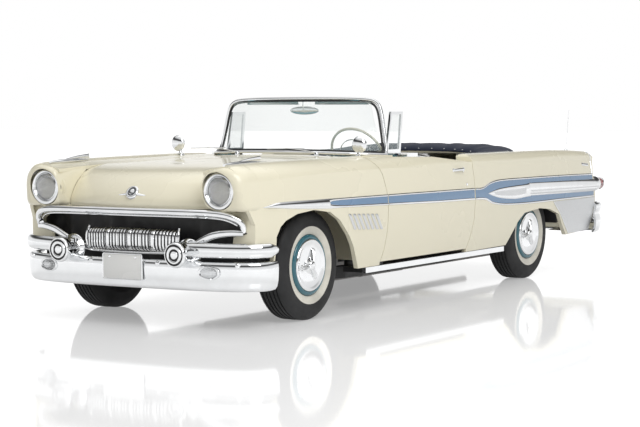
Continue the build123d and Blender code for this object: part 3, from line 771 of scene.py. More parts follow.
class CONVERTIBLE_OT_wheels(bpy.types.Operator):
    """Fit whitewall tyres, painted rims and chrome wheel covers"""
    bl_idname = "convertible.wheels"
    bl_label = "Tyres and wheels"

    # The front left wheel's centre, out from the middle of the car and up from the ground
    HUB_X, HUB_Z = 752, 350
    GROOVES = (56, 28, 0, -28, -56)
    # The first of the cover's three blades, as a turn from upright in radians
    FIRST_BLADE = 0.35
    # The white band lies between these radii, outside this distance from the middle of the car, in metres
    WHITE_FROM, WHITE_TO, WHITE_X = 0.194, 0.2455, 0.83
    # A blade's start, length, half width at its start and widening, height and crown, in millimetres
    BLADE_START, BLADE_LENGTH, BLADE_HALF, BLADE_SPREAD, BLADE_HEIGHT, BLADE_CROWN = 26, 92, 13, 17, 93, 25

    def execute(self, context):
        centre = at(self.HUB_X, 0, self.HUB_Z)
        axis = OUT
        outer_wall = [(188, 78), (196, 88), (208, 95), (228, 100.5), (244, 102.6), (246, 103.4), (252, 103.4),
                      (256, 102.6), (280, 103), (300, 101), (318, 96), (331, 89), (339, 82)]
        tread = [(342, 79), (347, 73)]
        for groove in self.GROOVES:
            tread += [(349 if groove else 350, groove + 5), (341, groove + 4), (341, groove - 4),
                      (349 if groove else 350, groove - 5)]
        tread += [(347, -73), (342, -79)]
        inner_wall = [(radius, -depth) for radius, depth in reversed(outer_wall)]
        tyre = turned(outer_wall + tread + inner_wall + [(180, -70), (180, 70), (188, 78)], centre, axis, 88)
        cover = turned([(0, 96), (60, 96), (92, 97), (122, 100), (142, 103), (152, 108), (160, 109),
                        (165, 105), (167, 98), (167, 90), (0, 88)], centre, axis, 64)
        hub = turned([(0, 128), (14, 127), (25, 122), (31, 114), (33, 106), (38, 103), (46, 102), (52, 98),
                      (54, 92), (0, 92)], centre, axis, 40)
        ring = turned([(166, 96), (171, 101), (181, 101), (189, 96), (194, 89), (194, 80), (166, 84),
                       (166, 96)], centre, axis, 64)
        blades = [self.blade(centre, self.FIRST_BLADE + third * math.pi / 3) for third in (0, 2, 4)]
        cover = joined([cover, hub, *blades])
        for end, axle_y in (("front", FRONT_AXLE_Y), ("rear", REAR_AXLE_Y)):
            shift = Matrix.Translation((0, axle_y - FRONT_AXLE_Y, 0))

            def white(place, normal, axle_y=axle_y):
                radius = math.hypot(place.y - axle_y, place.z - centre.z)
                return abs(place.x) > self.WHITE_X and self.WHITE_FROM < radius < self.WHITE_TO

            for piece, name, finish, replaced, painted in (
                (tyre, "tyre", "tyre_rubber", [f"tyre_{end}"], [("white_rubber", white)]),
                (cover, "wheel_cover", "bright_chrome", [], []),
                (ring, "rim_ring", "teal_enamel", [], []),
            ):
                made = piece.copy()
                made.data = piece.data.copy()
                bpy.context.collection.objects.link(made)
                made.data.transform(shift)
                keep_pair(made, f"dressed_{name}_{end}", finish, f"wheel_{end}", replaced, painted)
        for spare in (tyre, cover, ring):
            bpy.data.objects.remove(spare)
        return {"FINISHED"}

    def blade(self, centre, turn):
        """One of the cover's three fluted blades."""
        out = Vector((0, math.sin(turn), math.cos(turn)))
        over = Vector((0, math.cos(turn), -math.sin(turn)))

        def place(u, v):
            radius = self.BLADE_START + self.BLADE_LENGTH * u
            half = self.BLADE_HALF + self.BLADE_SPREAD * u
            across = 2 * v - 1
            crown = max(0.0, 1 - across ** 2) ** 0.5
            close = 1 - u ** 8
            flute = 2.4 * math.cos(5 * math.pi * across)
            height = self.BLADE_HEIGHT + (self.BLADE_CROWN - 11 * u + flute) * crown * close
            return centre + out * (radius * MM) + over * (half * across * MM) + Vector((height * MM, 0, 0))

        made = shaped_grid(16, 28, place)
        edit(made, weld, face_out)
        return walled(made, 0.002)


class CONVERTIBLE_OT_side_trim(bpy.types.Operator):
    """Lay the stripe, its mouldings, the rear pod and the louvre marks on both sides"""
    bl_idname = "convertible.side_trim"
    bl_label = "Side trim"

    PANELS = (("fender", "body", FENDER, -577, 804),
              ("door", "door", DOOR, 813, 2048),
              ("quarter", "body", QUARTER, 2062, 4196))
    # How far out the trim may stand, so that it stays inside the solids' box
    REACH = 960.0
    # Where the spear's point, the stripe, the pod and the tube begin, counted back from the front axle
    SPEAR_FRONT, STRIPE_FRONT, POD_FRONT, TUBE_FRONT = -577, 69, 2267, 2950
    POD_LENGTH, POD_DEPTH, POD_HOLLOW = 704, 26, 15
    TUBE_LENGTH, TUBE_DEPTH = 1264, 34
    BULGE, SPEAR_BULGE = 6, 13
    # The grained panel's lowest line, height and grain
    PANEL_LOW, PANEL_HEIGHT, GRAIN_PITCH = 314, 272, 7.0
    MARKS = 7
    # Each edge as (back from the front axle, height)
    TOP_EDGE = [(-577, 744), (-480, 765), (-379, 770), (69, 768), (262, 767), (810, 763), (1532, 757),
                (2046, 752), (2172, 751), (2300, 782), (2462, 797), (2971, 796), (3514, 791), (4196, 781)]
    BLUE_TOP = [(69, 741), (120, 750), (262, 752), (810, 748), (1532, 742), (2046, 737), (2172, 736),
                (2300, 767), (2462, 782), (2971, 781), (3514, 776), (4196, 766)]
    BLUE_LOW = [(69, 739), (120, 729), (262, 719), (810, 706), (1532, 688), (2046, 681), (2219, 673),
                (2332, 640), (2545, 618), (2972, 608), (3515, 608), (4196, 604)]
    LOW_EDGE = [(-577, 742), (-435, 731), (69, 706), (262, 703), (810, 690), (1532, 673), (2046, 665),
                (2219, 657), (2332, 624), (2545, 602), (2972, 592), (3515, 592), (4196, 589)]

    def execute(self, context):
        for panel, body, nodes, start, end in self.PANELS:
            lines = [("moulding_top", "bright_chrome", self.TOP_EDGE, self.BLUE_TOP, self.BULGE),
                     ("stripe", "blue_enamel", self.BLUE_TOP, self.BLUE_LOW, 0),
                     ("moulding_low", "bright_chrome", self.BLUE_LOW, self.LOW_EDGE, self.BULGE)]
            for name, finish, top, low, bulge in lines:
                self.strip(f"{name}_{panel}", finish, body, nodes, top, low, max(start, self.STRIPE_FRONT),
                           end, bulge)
        self.strip("spear_head", "bright_chrome", "body", FENDER, self.TOP_EDGE, self.LOW_EDGE,
                   self.SPEAR_FRONT, self.STRIPE_FRONT + 2, self.SPEAR_BULGE)
        self.pod()
        self.tube()
        self.rear_panel()
        self.louvres()
        return {"FINISHED"}

    def strip(self, name, finish, body, nodes, top, low, start, end, bulge):
        """Lays one band on the skin between a top and a low edge. A bulge of 0 leaves it flat."""
        columns = max(6, round((end - start) / 16))

        def place(u, v):
            y = start + (end - start) * u
            z = along(low, y) + (along(top, y) - along(low, y)) * v
            point = min(1.0, (u * (end - start) + 1) / 60) if name == "spear_head" else 1
            lift = bulge * math.sin(math.pi * v) ** 0.7 * point if bulge else 0
            return at(min(skin_x(nodes, y, z) + STANDOFF + lift, self.REACH), y, z)

        made = walled(shaped_grid(columns, 8 if bulge else 3, place), SHEET, 50)
        keep_pair(made, name, finish, body)

    def pod(self):
        """The spindle at the front of the rear tube, with its grey inlay."""
        top = [(2267, 703), (2330, 716), (2462, 732), (2713, 741), (2902, 745), (2971, 752)]
        low = [(2267, 701), (2330, 684), (2462, 660), (2713, 642), (2902, 648), (2971, 650)]

        def place(u, v):
            y = self.POD_FRONT + self.POD_LENGTH * u
            z = along(low, y) + (along(top, y) - along(low, y)) * v
            lift = self.POD_DEPTH * min(1, (u * 4) ** 0.6) * math.sin(math.pi * v) ** 0.55
            hollow = math.exp(-((v - 0.5) / 0.27) ** 4) * min(1, max(0, (u - 0.10) * 6))
            hollow *= min(1, max(0, (0.90 - u) * 9))
            skin = skin_x(QUARTER, y, z) + STANDOFF
            room = min(1, (self.REACH - skin) / self.POD_DEPTH)
            return at(skin + room * (lift - self.POD_HOLLOW * hollow), y, z)

        made = walled(shaped_grid(60, 26, place), SHEET, 60)

        def inlay(place, normal):
            u = (place.y - at(0, self.POD_FRONT, 0).y) / (self.POD_LENGTH * MM)
            y = self.POD_FRONT + self.POD_LENGTH * u
            span = along(top, y) - along(low, y)
            if not (0.13 < u < 0.88 and span > 4):
                return False
            v = (place.z / MM - along(low, y)) / span
            return 0.27 < v < 0.73

        keep_pair(made, "pod", painted=[("brushed_aluminium_and_shade", inlay)])

    def tube(self):
        """The half-round tube that runs back to the tail lamp, bright chrome on top with painted shade on its
        underside.
        """
        centre = [(2950, 701), (4214, 683)]
        half = [(2950, 51), (4214, 50)]

        def place(u, v):
            y = self.TUBE_FRONT + self.TUBE_LENGTH * u
            turn = math.pi * (v - 0.5)
            z = along(centre, y) + along(half, y) * math.sin(turn)
            reach = self.TUBE_DEPTH + 10 * u
            rib = 1.6 * math.cos(11 * turn) if turn < -0.1 else 0
            skin = skin_x(QUARTER, y, along(centre, y)) - 2
            deep = min(reach, self.REACH - skin)
            return at(skin + (deep + rib) * math.cos(turn), y, z)

        made = walled(shaped_grid(60, 30, place), SHEET, 50)
        # Painted shade: the faces that point downwards take the grey brushed finish, so the tube is darker
        # below
        keep_pair(made, "tail_tube", painted=[
            ("brushed_aluminium_and_shade", lambda place, normal: normal.z < -0.12)])

    def rear_panel(self):
        """The grained panel behind the rear wheel, with its chrome edge."""
        front_edge = [(312, 3768), (391, 3655), (480, 3545), (583, 3390)]
        rear_edge = [(312, 4200), (450, 4214), (545, 4222), (583, 4214)]

        def place(u, v):
            z = self.PANEL_LOW + self.PANEL_HEIGHT * v
            front_y, rear_y = along(front_edge, z), along(rear_edge, z)
            y = front_y + (rear_y - front_y) * u
            grain = 0.7 * math.cos(2 * math.pi * z / self.GRAIN_PITCH)
            return at(skin_x(QUARTER, y, z) + 3 + grain, y, z)

        made = walled(shaped_grid(30, 190, place), SHEET, 60)
        keep_pair(made, "rear_panel", "brushed_aluminium_and_shade")

        rim = []
        for i in range(9):
            z = self.PANEL_LOW + self.PANEL_HEIGHT * i / 8
            y = along(front_edge, z)
            rim.append(at(skin_x(QUARTER, y, z) + 2, y, z))
        edge = swept(rim, oval(5, 4, 8), OUT, 40)
        keep_pair(edge, "rear_panel_edge")

    def louvres(self):
        """Seven slanted marks behind the front wheel."""
        marks = []
        for i in range(self.MARKS):
            top_y = 311 + 341 * i / 6
            top_z = 659 - 3 * i

            def place(u, v, top_y=top_y, top_z=top_z):
                y = top_y + 80 * u + 30 * (v - 0.5)
                z = top_z - 104 * u
                ends = min(1.0, 8 * u, 8 * (1 - u))
                lift = 6 * math.sin(math.pi * v) * ends ** 0.5
                return at(skin_x(FENDER, y, z) + STANDOFF + lift, y, z)

            mark = shaped_grid(14, 8, place)
            flip(mark)
            marks.append(walled(mark, 0.002, 50))
        keep_pair(joined(marks), "louvre_marks", "brushed_aluminium_and_shade")


class CONVERTIBLE_OT_hood(bpy.types.Operator):
    """Shape the hood with its rounded nose, and its emblem place"""
    bl_idname = "convertible.hood"
    bl_label = "Hood"

    HALF, HIGHEST = 556.0, 1012
    # The radius of the nose seen from above
    NOSE_ARC = 1618
    # The skin's outline down the middle as (step, back from the front axle, height)
    NOSE = [(0, -737, 728), (1, -739, 752), (2, -731, 784), (3, -714, 818), (4, -692, 850), (5, -663, 882),
            (6, -628, 910), (7, -588, 932), (8, -540, 949), (9, -480, 961), (10, -380, 974), (11, -250, 983),
            (12, -100, 989), (13, 60, 994), (14, 240, 1000), (15, 450, 1006), (16, 640, 1009),
            (17, 824, 1011)]

    def execute(self, context):
        back = [(i, y) for i, y, z in self.NOSE]
        rise = [(i, z) for i, y, z in self.NOSE]
        edge = {}

        def edge_z(y):
            key = round(y / 10)
            if key not in edge:
                edge[key] = skin_z(FENDER, 572, max(y, -560), 930)
            return edge[key]

        def place(u, v):
            x = self.HALF * (2 * u - 1)
            i = (len(self.NOSE) - 1) * v
            y0, z0 = along(back, i), along(rise, i)
            round_off = self.NOSE_ARC - math.sqrt(self.NOSE_ARC ** 2 - x * x)
            fade = min(1.0, max(0.0, (y0 + 100) / -540))
            y = y0 + round_off * fade
            rim = edge_z(y)
            gap = max(0.0, z0 - rim) if z0 > 800 else 0.0
            bow = (abs(x) / self.HALF) ** 2.4
            z = z0 - gap * bow * min(1.0, max(0.0, (z0 - 760) / 120))
            return at(x, y, min(z, self.HIGHEST))

        made = walled(shaped_grid(56, 102, place), 0.016, 50)
        keep(made, "dressed_hood", "cream_enamel", "hood", ["hood"])
        self.emblem()
        return {"FINISHED"}

    def emblem(self):
        """A plain boss with two bars, on the hood's nose, with painted shade in the groove round the boss."""
        centre = at(0, -712, 822)
        axis = Vector((0, -0.82, 0.57))
        boss = turned([(0, 16), (12, 15), (20, 11), (25, 8), (30, 10), (36, 12), (42, 10), (46, 4), (47, -10),
                       (0, -12)], centre, axis, 40)
        bars = []
        for side in (1, -1):
            spots = [at(side * 34, -716, 812), at(side * 100, -711, 803), at(side * 170, -704, 793),
                     at(side * 236, -692, 786)]
            bars.append(swept(spots, oval(9, 8, 10), Vector((0, -1, 0.6)), 24,
                              lambda u: 1.15 - 0.75 * u))
        # Painted shade: the groove round the boss is dark grey, for the shade inside it
        keep(joined([boss, *bars]), "hood_badge", body="hood", painted=[
            ("cast_iron_and_shade", lambda place, normal: 0.0195 < (place - centre - axis * 0.008).length < 0.031)])


# The headlamps' centres, out from the middle of the car and up from the ground
LAMP_X, LAMP_Z = 677, 845
# The hood's front corner as (height, back from the front axle)
HOOD_EDGE = [(700, -640), (752, -642), (784, -634), (818, -617), (850, -595), (882, -566), (910, -531),
             (932, -495), (949, -446), (961, -390)]


class CONVERTIBLE_OT_front(bpy.types.Operator):
    """Dress the front: bumper, bullets, grille, brow, wings, lamps and plate"""
    bl_idname = "convertible.front"
    bl_label = "Front end"

    GRILLE_HALF, GRILLE_Z, GRILLE_TALL = 352, 532, 71
    # The grille's three thick ribs, half their width, and the pitch of the fine ones
    RIBS, RIB_HALF, RIB_PITCH = (-176, 0, 176), 17, 23.6
    # Between the ribs the grille is painted black where it stands out less than this, as painted shade and
    # dark reflection in the recesses
    GRILLE_SHADE_DEPTH = 7.4
    OPENING_HALF = 862
    # How far the lamp's face reaches in towards the hood and down to the brow
    FACE_IN, FACE_DOWN = 119, 122
    FACE_SPOTS = 96
    # The fender's skin round the lamp lies this far back
    FACE_BACK = -600

    def execute(self, context):
        self.bumper()
        self.bullets()
        self.grille()
        self.brow_and_wings()
        self.shade_sheet_behind_grille()
        self.headlamps()
        self.lamp_faces()
        self.parking_lamps()
        self.plate()
        self.ornaments()
        return {"FINISHED"}

    def bumper(self):
        """The front bumper: a deep blade with a roll along its top from each bullet out."""
        left = [at(x, y, 430) for x, y in (
            (928, -500), (928, -540), (917, -590), (893, -636), (850, -678), (770, -722), (640, -757),
            (460, -780), (230, -792), (0, -795))]
        lower = [(-34, 4), (-20, 12), (-4, 14), (8, 8), (15, -6), (17, -30), (16, -64), (13, -108), (5, -142),
                 (-10, -162), (-24, -168), (-30, -160), (-18, -150), (-8, -120), (-4, -60), (-6, -10),
                 (-20, -4)]
        blade = swept(mirror_points([p - Vector((0, 0, 0.024)) for p in left]), lower[::-1], None, 130,
                      smooth_angle=60)
        roll_path = left[:8] + [at(400, -786, 430)]
        upper = oval(33, 46, 20, 0.85)
        for side in (1, -1):
            route = [Vector((side * p.x, p.y + 0.006, p.z + 0.056)) for p in roll_path]
            roll = swept(route, upper, None, 70,
                         lambda u: min(1.0, 0.45 + 5 * u) if u < 0.11 else 1.0 - 0.25 * max(0, u - 0.75), 60)
            blade = joined([blade, roll])
        bolts = []
        for x, y in ((260, -805), (-260, -805), (800, -728), (-800, -728)):
            away = Vector((x / 1400, -1, 0))
            bolts.append(turned([(0, 9), (8, 8), (14, 4), (16, -4), (0, -6)], at(x, y, 400), away, 20))
        keep(joined([blade, *bolts]), "dressed_bumper_front", replaced=["front_bumper"])

    def bullets(self):
        """The two bullets that carry the bumper's middle, with painted shade in the grooves on their noses.
        """
        profile = [(0, 2), (16, 1), (24, 3), (28, 9), (33, 9), (37, 3), (46, 0), (53, 2), (57, 9), (62, 9),
                   (66, 4), (72, 5), (77, 12), (79, 24), (77, 38), (72, 58), (66, 80), (63, 100), (65, 118),
                   (74, 134), (88, 148), (92, 156), (0, 156)]
        centre = at(451, -899, 462)
        made = turned(profile, centre, BACK, 64)

        # Painted shade: the two grooves on each nose are black, for the shade inside them
        def groove(place, normal):
            radius = math.hypot(abs(place.x) - centre.x, place.z - centre.z) / MM
            return place.y < centre.y + 0.0105 and (26 < radius < 35 or 55 < radius < 64)

        keep_pair(made, "bullet", painted=[("black_satin_and_shade", groove)])

    def grille(self):
        """The curved grille with its fine upright ribs."""
        def lift_at(x):
            nearest = min(self.RIBS, key=lambda rib: abs(x - rib))
            if abs(x - nearest) < self.RIB_HALF:
                return 13 * max(0.0, 1 - (abs(x - nearest) / self.RIB_HALF) ** 4)
            return 10 * abs(math.cos(math.pi * (x - nearest - 29) / self.RIB_PITCH)) ** 0.6

        def place(u, v):
            x = self.GRILLE_HALF * (2 * u - 1)
            tall = 2 * v - 1
            curve = (x / self.GRILLE_HALF) ** 2
            y = -746 + 26 * curve + 30 * tall ** 4
            z = self.GRILLE_Z + self.GRILLE_TALL * tall - 8 * curve
            close = max(0.0, 1 - tall ** 10)
            return at(x, y - lift_at(x) * close, z)

        bar = walled(shaped_grid(420, 22, place), 0.006, 60)

        # Painted shade: the faces that sit back between the ribs are black, for the shade and dark
        # reflections in the recesses
        def dark(place, normal):
            x = place.x / MM
            return lift_at(x) < self.GRILLE_SHADE_DEPTH and 0.463 < place.z < 0.599

        keep(bar, "dressed_grille", replaced=["grille"], painted=[("black_satin_and_shade", dark)])
        ends = []
        for side in (1, -1):
            spots = [at(side * 352, -700, 604), at(side * 358, -716, 572), at(side * 360, -722, 530),
                     at(side * 356, -716, 490), at(side * 350, -700, 460)]
            ends.append(swept(spots, oval(12, 9, 10), AHEAD, 24))
        keep(joined(ends), "grille_ends")

    def brow_and_wings(self):
        """The chrome brow over the opening, the wings under it and the grille's lower bar."""
        left = through((796, -652, 600), (802, -664, 632), (786, -684, 664), (745, -710, 688),
                       (690, -728, 702), (590, -748, 709), (400, -765, 711), (200, -772, 711), (0, -774, 711))
        section = [(-16, 17), (-4, 21), (8, 20), (17, 12), (20, 0), (18, -11), (10, -18), (0, -22),
                   (-14, -19)]
        brow = swept(mirror_points(left), section[::-1], None, 120, smooth_angle=60)
        under = [Vector((p.x * 0.97, p.y + 0.012, p.z - 0.027)) for p in left[2:]]
        strip = swept(mirror_points(under), oval(7, 5, 8), None, 100)
        keep(joined([brow, strip]), "dressed_brow", replaced=["grille_brow"])
        wing = swept(through((352, -716, 474), (430, -726, 486), (520, -730, 530), (610, -722, 572),
                                   (710, -700, 590), (800, -664, 590)), oval(13, 20, 14, 0.8), None, 50,
                     lambda u: 0.9 + 0.25 * math.sin(math.pi * u))
        keep_pair(wing, "dressed_wing", whole="grille_wings")
        low = swept(through((360, -716, 462), (300, -738, 458), (150, -752, 455), (0, -757, 454),
                            (-150, -752, 455), (-300, -738, 458), (-360, -716, 462)),
                    oval(9, 7, 10), None, 50)
        keep(low, "grille_lower_bar")

    def shade_sheet_behind_grille(self):
        """A black sheet behind the grille, painted shade for the dark inside of the opening, so that nothing
        shows through it.
        """
        def place(u, v):
            x = self.OPENING_HALF * (2 * u - 1)
            return at(x, -596 + 66 * (2 * u - 1) ** 2 + 6 * math.cos(20 * math.pi * u), 330 + 392 * v)

        panel = shaped_grid(80, 6, place)
        keep(walled(panel, 0.004), "shade_sheet_behind_grille", "black_satin_and_shade")

    def headlamps(self):
        """A chrome ring, a lens and a bowl for each headlamp, with a black ring of painted shade in the gap
        round the chrome ring.
        """
        low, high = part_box("headlamps")
        centre = Vector((LAMP_X * MM, low.y + 0.012, (low.z + high.z) / 2))
        axis = AHEAD
        ring = turned([(111, -34), (112, -4), (110, 4), (104, 8), (97, 8), (91, 3), (88, -4), (88, -14),
                       (92, -34), (111, -34)], centre, axis, 64)
        inner = turned([(88, -10), (87, -2), (83, 1), (80, -3), (80, -12), (88, -10)], centre, axis, 64)
        keep_pair(joined([ring, inner]), "headlamp_ring", whole="headlamp_bezels")
        lens = turned([(0, 8), (26, 7), (48, 4.5), (66, 1), (78, -4), (81, -8), (78, -11), (60, -8), (30, -3),
                       (0, -2)], centre, axis, 64)
        keep_pair(lens, "headlamp_lens", "clear_lamp", whole="headlamps")
        bowl = turned([(0, -52), (26, -48), (52, -36), (74, -18), (80, -10), (84, -12), (78, -22), (54, -42),
                       (26, -54), (0, -58)], centre, axis, 48)
        keep_pair(bowl, "headlamp_bowl")
        # Painted shade: a black ring stands for the shadow in the gap between the chrome ring and the lamp's
        # face
        gap = turned([(111, -30), (117, -22), (119, -12), (117, -6), (112, -8), (111, -30)], centre, axis, 64)
        keep_pair(gap, "headlamp_gap_shade", "black_satin_and_shade")

    def lamp_faces(self):
        """The cream face that runs from each headlamp out to the fender's skin."""
        centre = at(LAMP_X, self.FACE_BACK, LAMP_Z)
        count = self.FACE_SPOTS
        rim = []
        for i in range(count):
            turn = 2 * math.pi * i / count
            out = Vector((math.cos(turn), 0, math.sin(turn)))
            found = cast("front_fender_left", centre + out * 0.5, -out)
            reach = ((found - centre).length / MM if found else 170.0) + 2.5
            back = float(self.FACE_BACK)
            side = reach * math.cos(turn)
            if 0 > side > -self.FACE_IN and turn < math.pi:
                back = self.FACE_BACK + 130 * (-side / self.FACE_IN) ** 2
            if side < -self.FACE_IN:
                reach = self.FACE_IN / -math.cos(turn)
                back = along(HOOD_EDGE, LAMP_Z + reach * math.sin(turn))
            if reach * math.sin(turn) < -self.FACE_DOWN:
                low_reach = self.FACE_DOWN / -math.sin(turn)
                back += (-706 - back) * min(1.0, (reach - low_reach) / 60)
                reach = low_reach
            rim.append((reach, back))
        # Each spot takes the mean of itself and its two neighbours
        rim = [[sum(rim[(i + k) % count][part] for k in (-1, 0, 1)) / 3 for part in (0, 1)]
               for i in range(count)]

        def place(u, v):
            reach, back = rim[round(u * count) % count]
            turn = 2 * math.pi * u
            face = -757 - 0.14 * (118 * math.sin(turn))
            radius = 116 + (max(reach, 117) - 116) * v ** 0.8
            depth = face + (back - face) * (1 - math.sqrt(max(0.0, 1 - v ** 2.2)))
            return at(LAMP_X + radius * math.cos(turn), depth, LAMP_Z + radius * math.sin(turn))

        face = shaped_grid(count, 20, place)
        edit(face, weld, face_out)
        turn_towards(face, AHEAD)
        walled(face, 0.004, 60)
        keep_pair(face, "lamp_face", "cream_enamel")

    def parking_lamps(self):
        """The oval lamps in the front bumper."""
        centre = at(624, -779, 354)
        axis = Vector((0.19, -1, 0)).normalized()
        ring = turned([(43, -10), (44, 2), (42, 7), (38, 8), (34, 5), (33, -2), (34, -10), (43, -10)], centre,
                      axis, 48)
        lens = turned([(0, 9), (12, 8), (24, 5), (33, 0), (34, -6), (0, -8)], centre, axis, 48)
        for piece in (ring, lens):
            stretched(piece, centre, (1.76, 1, 1))
        keep_pair(ring, "parking_ring")
        keep_pair(lens, "parking_lens", "clear_lamp", whole="parking_lamps")

    def plate(self):
        """A blank plate in a thin frame."""
        face = block(at(-150, -821, 294), at(150, -819.5, 444), 0.6, 2)
        keep(face, "blank_plate", "plate_enamel", replaced=["number_plate"])
        corners = [(-152, 296), (-152, 442), (-146, 448), (146, 448), (152, 442), (152, 296), (146, 290),
                   (-146, 290)]
        pieces = []
        for (x0, z0), (x1, z1) in zip(corners, corners[1:] + corners[:1]):
            pieces.append(rod([at(x0, -821, z0), at((x0 + x1) / 2, -821, (z0 + z1) / 2), at(x1, -821, z1)],
                              4))
        for x in (-100, 100):
            pieces.append(turned([(0, 5), (6, 4), (9, 0), (9, -3), (0, -4)], at(x, -821, 428), AHEAD, 16))
        keep(joined(pieces), "plate_frame")

    def ornaments(self):
        """The darts on the fenders' tops and the round mirrors."""
        spots = []
        for y in (-690, -600, -500, -380, -232):
            spots.append(at(680, y, skin_z(FENDER, 680, y, 985) + 11))
        dart = swept(spots, oval(10, 13, 14), UP, 48,
                     lambda u: max(0.12, math.sin(math.pi * min(1, 0.1 + u)) ** 0.7 * (1.75 - 0.9 * u)))
        blade_spots = [at(680, -560, spots[2].z / MM + 6), at(680, -440, spots[2].z / MM + 20),
                       at(680, -300, spots[3].z / MM + 24)]
        fin = swept(blade_spots, oval(13, 2.5, 10), UP, 24, lambda u: 0.25 + 0.9 * u)
        keep_pair(joined([dart, fin]), "fender_dart")
        foot_z = skin_z(FENDER, 735, 783, 998)
        foot = turned([(30, -6), (28, 3), (17, 10), (10, 20), (8, 40), (7, 62), (0, 62)],
                      at(735, 783, foot_z), UP, 32)
        head = turned([(0, -24), (18, -23), (36, -18), (50, -9), (56, 0), (57, 5), (54, 8), (50, 7), (49, 4),
                       (0, 4)], at(750, 772, 1090), BACK, 48)
        neck = rod([at(735, 783, foot_z + 58), at(740, 784, foot_z + 74), at(748, 780, 1086)], 7)
        keep_pair(joined([foot, head, neck]), "fender_mirror", whole="side_mirrors")


class CONVERTIBLE_OT_windshield(bpy.types.Operator):
    """Frame the windshield, with its seal, wipers, visors and inner mirror"""
    bl_idname = "convertible.windshield"
    bl_label = "Windshield"

    HEAD = [(706, 1206, 1006), (694, 1226, 1050), (680, 1238, 1120), (664, 1246, 1200), (648, 1251, 1280),
            (632, 1254, 1332), (612, 1256, 1362), (580, 1256, 1381), (540, 1256, 1389), (455, 1256, 1395),
            (282, 1256, 1399), (0, 1256, 1400)]
    FOOT = [(706, 1206, 1012), (672, 1122, 1015), (610, 1046, 1019), (520, 984, 1023), (380, 932, 1028),
            (200, 900, 1031), (0, 888, 1032)]

    def execute(self, context):
        head = mirror_points([at(*spot) for spot in self.HEAD])
        foot = mirror_points([at(*spot) for spot in self.FOOT])
        frame = swept(head, oval(12, 12, 16, 0.75), AHEAD, 150, smooth_angle=60)
        sill = swept(foot, oval(15, 11, 14, 0.8), None, 120, smooth_angle=60)
        keep(joined([frame, sill]), "dressed_windshield_frame", replaced=["windshield_frame"])
        inner = []
        for p in head:
            inner.append(Vector((p.x * 0.972, p.y - 0.012, 1.0 + (p.z - 1.0) * 0.962)))
        seal = swept(inner, oval(9, 8, 10), AHEAD, 130)
        ledge = swept([Vector((p.x * 0.985, p.y + 0.010, p.z + 0.014)) for p in foot],
                      oval(7, 8, 10), None, 110)
        keep(joined([seal, ledge]), "windshield_seal", "black_satin_and_shade")
        self.wipers()
        self.visors()
        self.inner_mirror()
        return {"FINISHED"}

    def wipers(self):
        """Two wipers on the cowl."""
        arms = []
        for x in (330, -330):
            base = at(x, 905, 1020)
            arms.append(turned([(16, -14), (16, 4), (11, 12), (0, 14)], base, UP, 24))
            tip = at(x - 250, 893, 1058)
            arms.append(rod([base + UP * 0.010, (base + tip) / 2 + Vector((0, -0.010, 0.010)), tip], 3.2,
                            0.7))
            blade_low, blade_high = at(x - 395, 889, 1052), at(x - 95, 898, 1058)
            arms.append(rod([blade_low, (blade_low + blade_high) / 2, blade_high], 3.4))
        keep(joined(arms), "wipers")

    def visors(self):
        """Two padded visors that lie under the header."""
        for side, name in ((1, "visor_left"), (-1, "visor_right")):
            def place(u, v, side=side):
                x = 70 + 440 * u
                corner = min(1.0, 9 * u, 9 * (1 - u)) ** 0.4
                turn = 2 * math.pi * v
                depth = 62 * corner
                return at(side * x, 1298 + depth * math.cos(turn), 1372 - 14 * math.cos(turn) + 9 * corner
                          * math.sin(turn))

            pad = shaped_grid(30, 16, place)
            edit(pad, weld, close_holes, face_out)
            keep(smooth(pad), name, "dash_enamel")

    def inner_mirror(self):
        """The mirror under the header."""
        centre = at(0, 1270, 1316)
        shell = turned([(0, -12), (40, -11), (47, -6), (48, 0), (46, 3), (43, 3), (42, 1), (0, 1)], centre,
                       Vector((0, 1, 0.12)), 40)
        stretched(shell, centre, (2.5, 1, 0.62))
        stalk = rod(through((0, 1252, 1390), (0, 1250, 1356), (0, 1262, 1320)), 5)
        keep(joined([shell, stalk]), "inner_mirror")


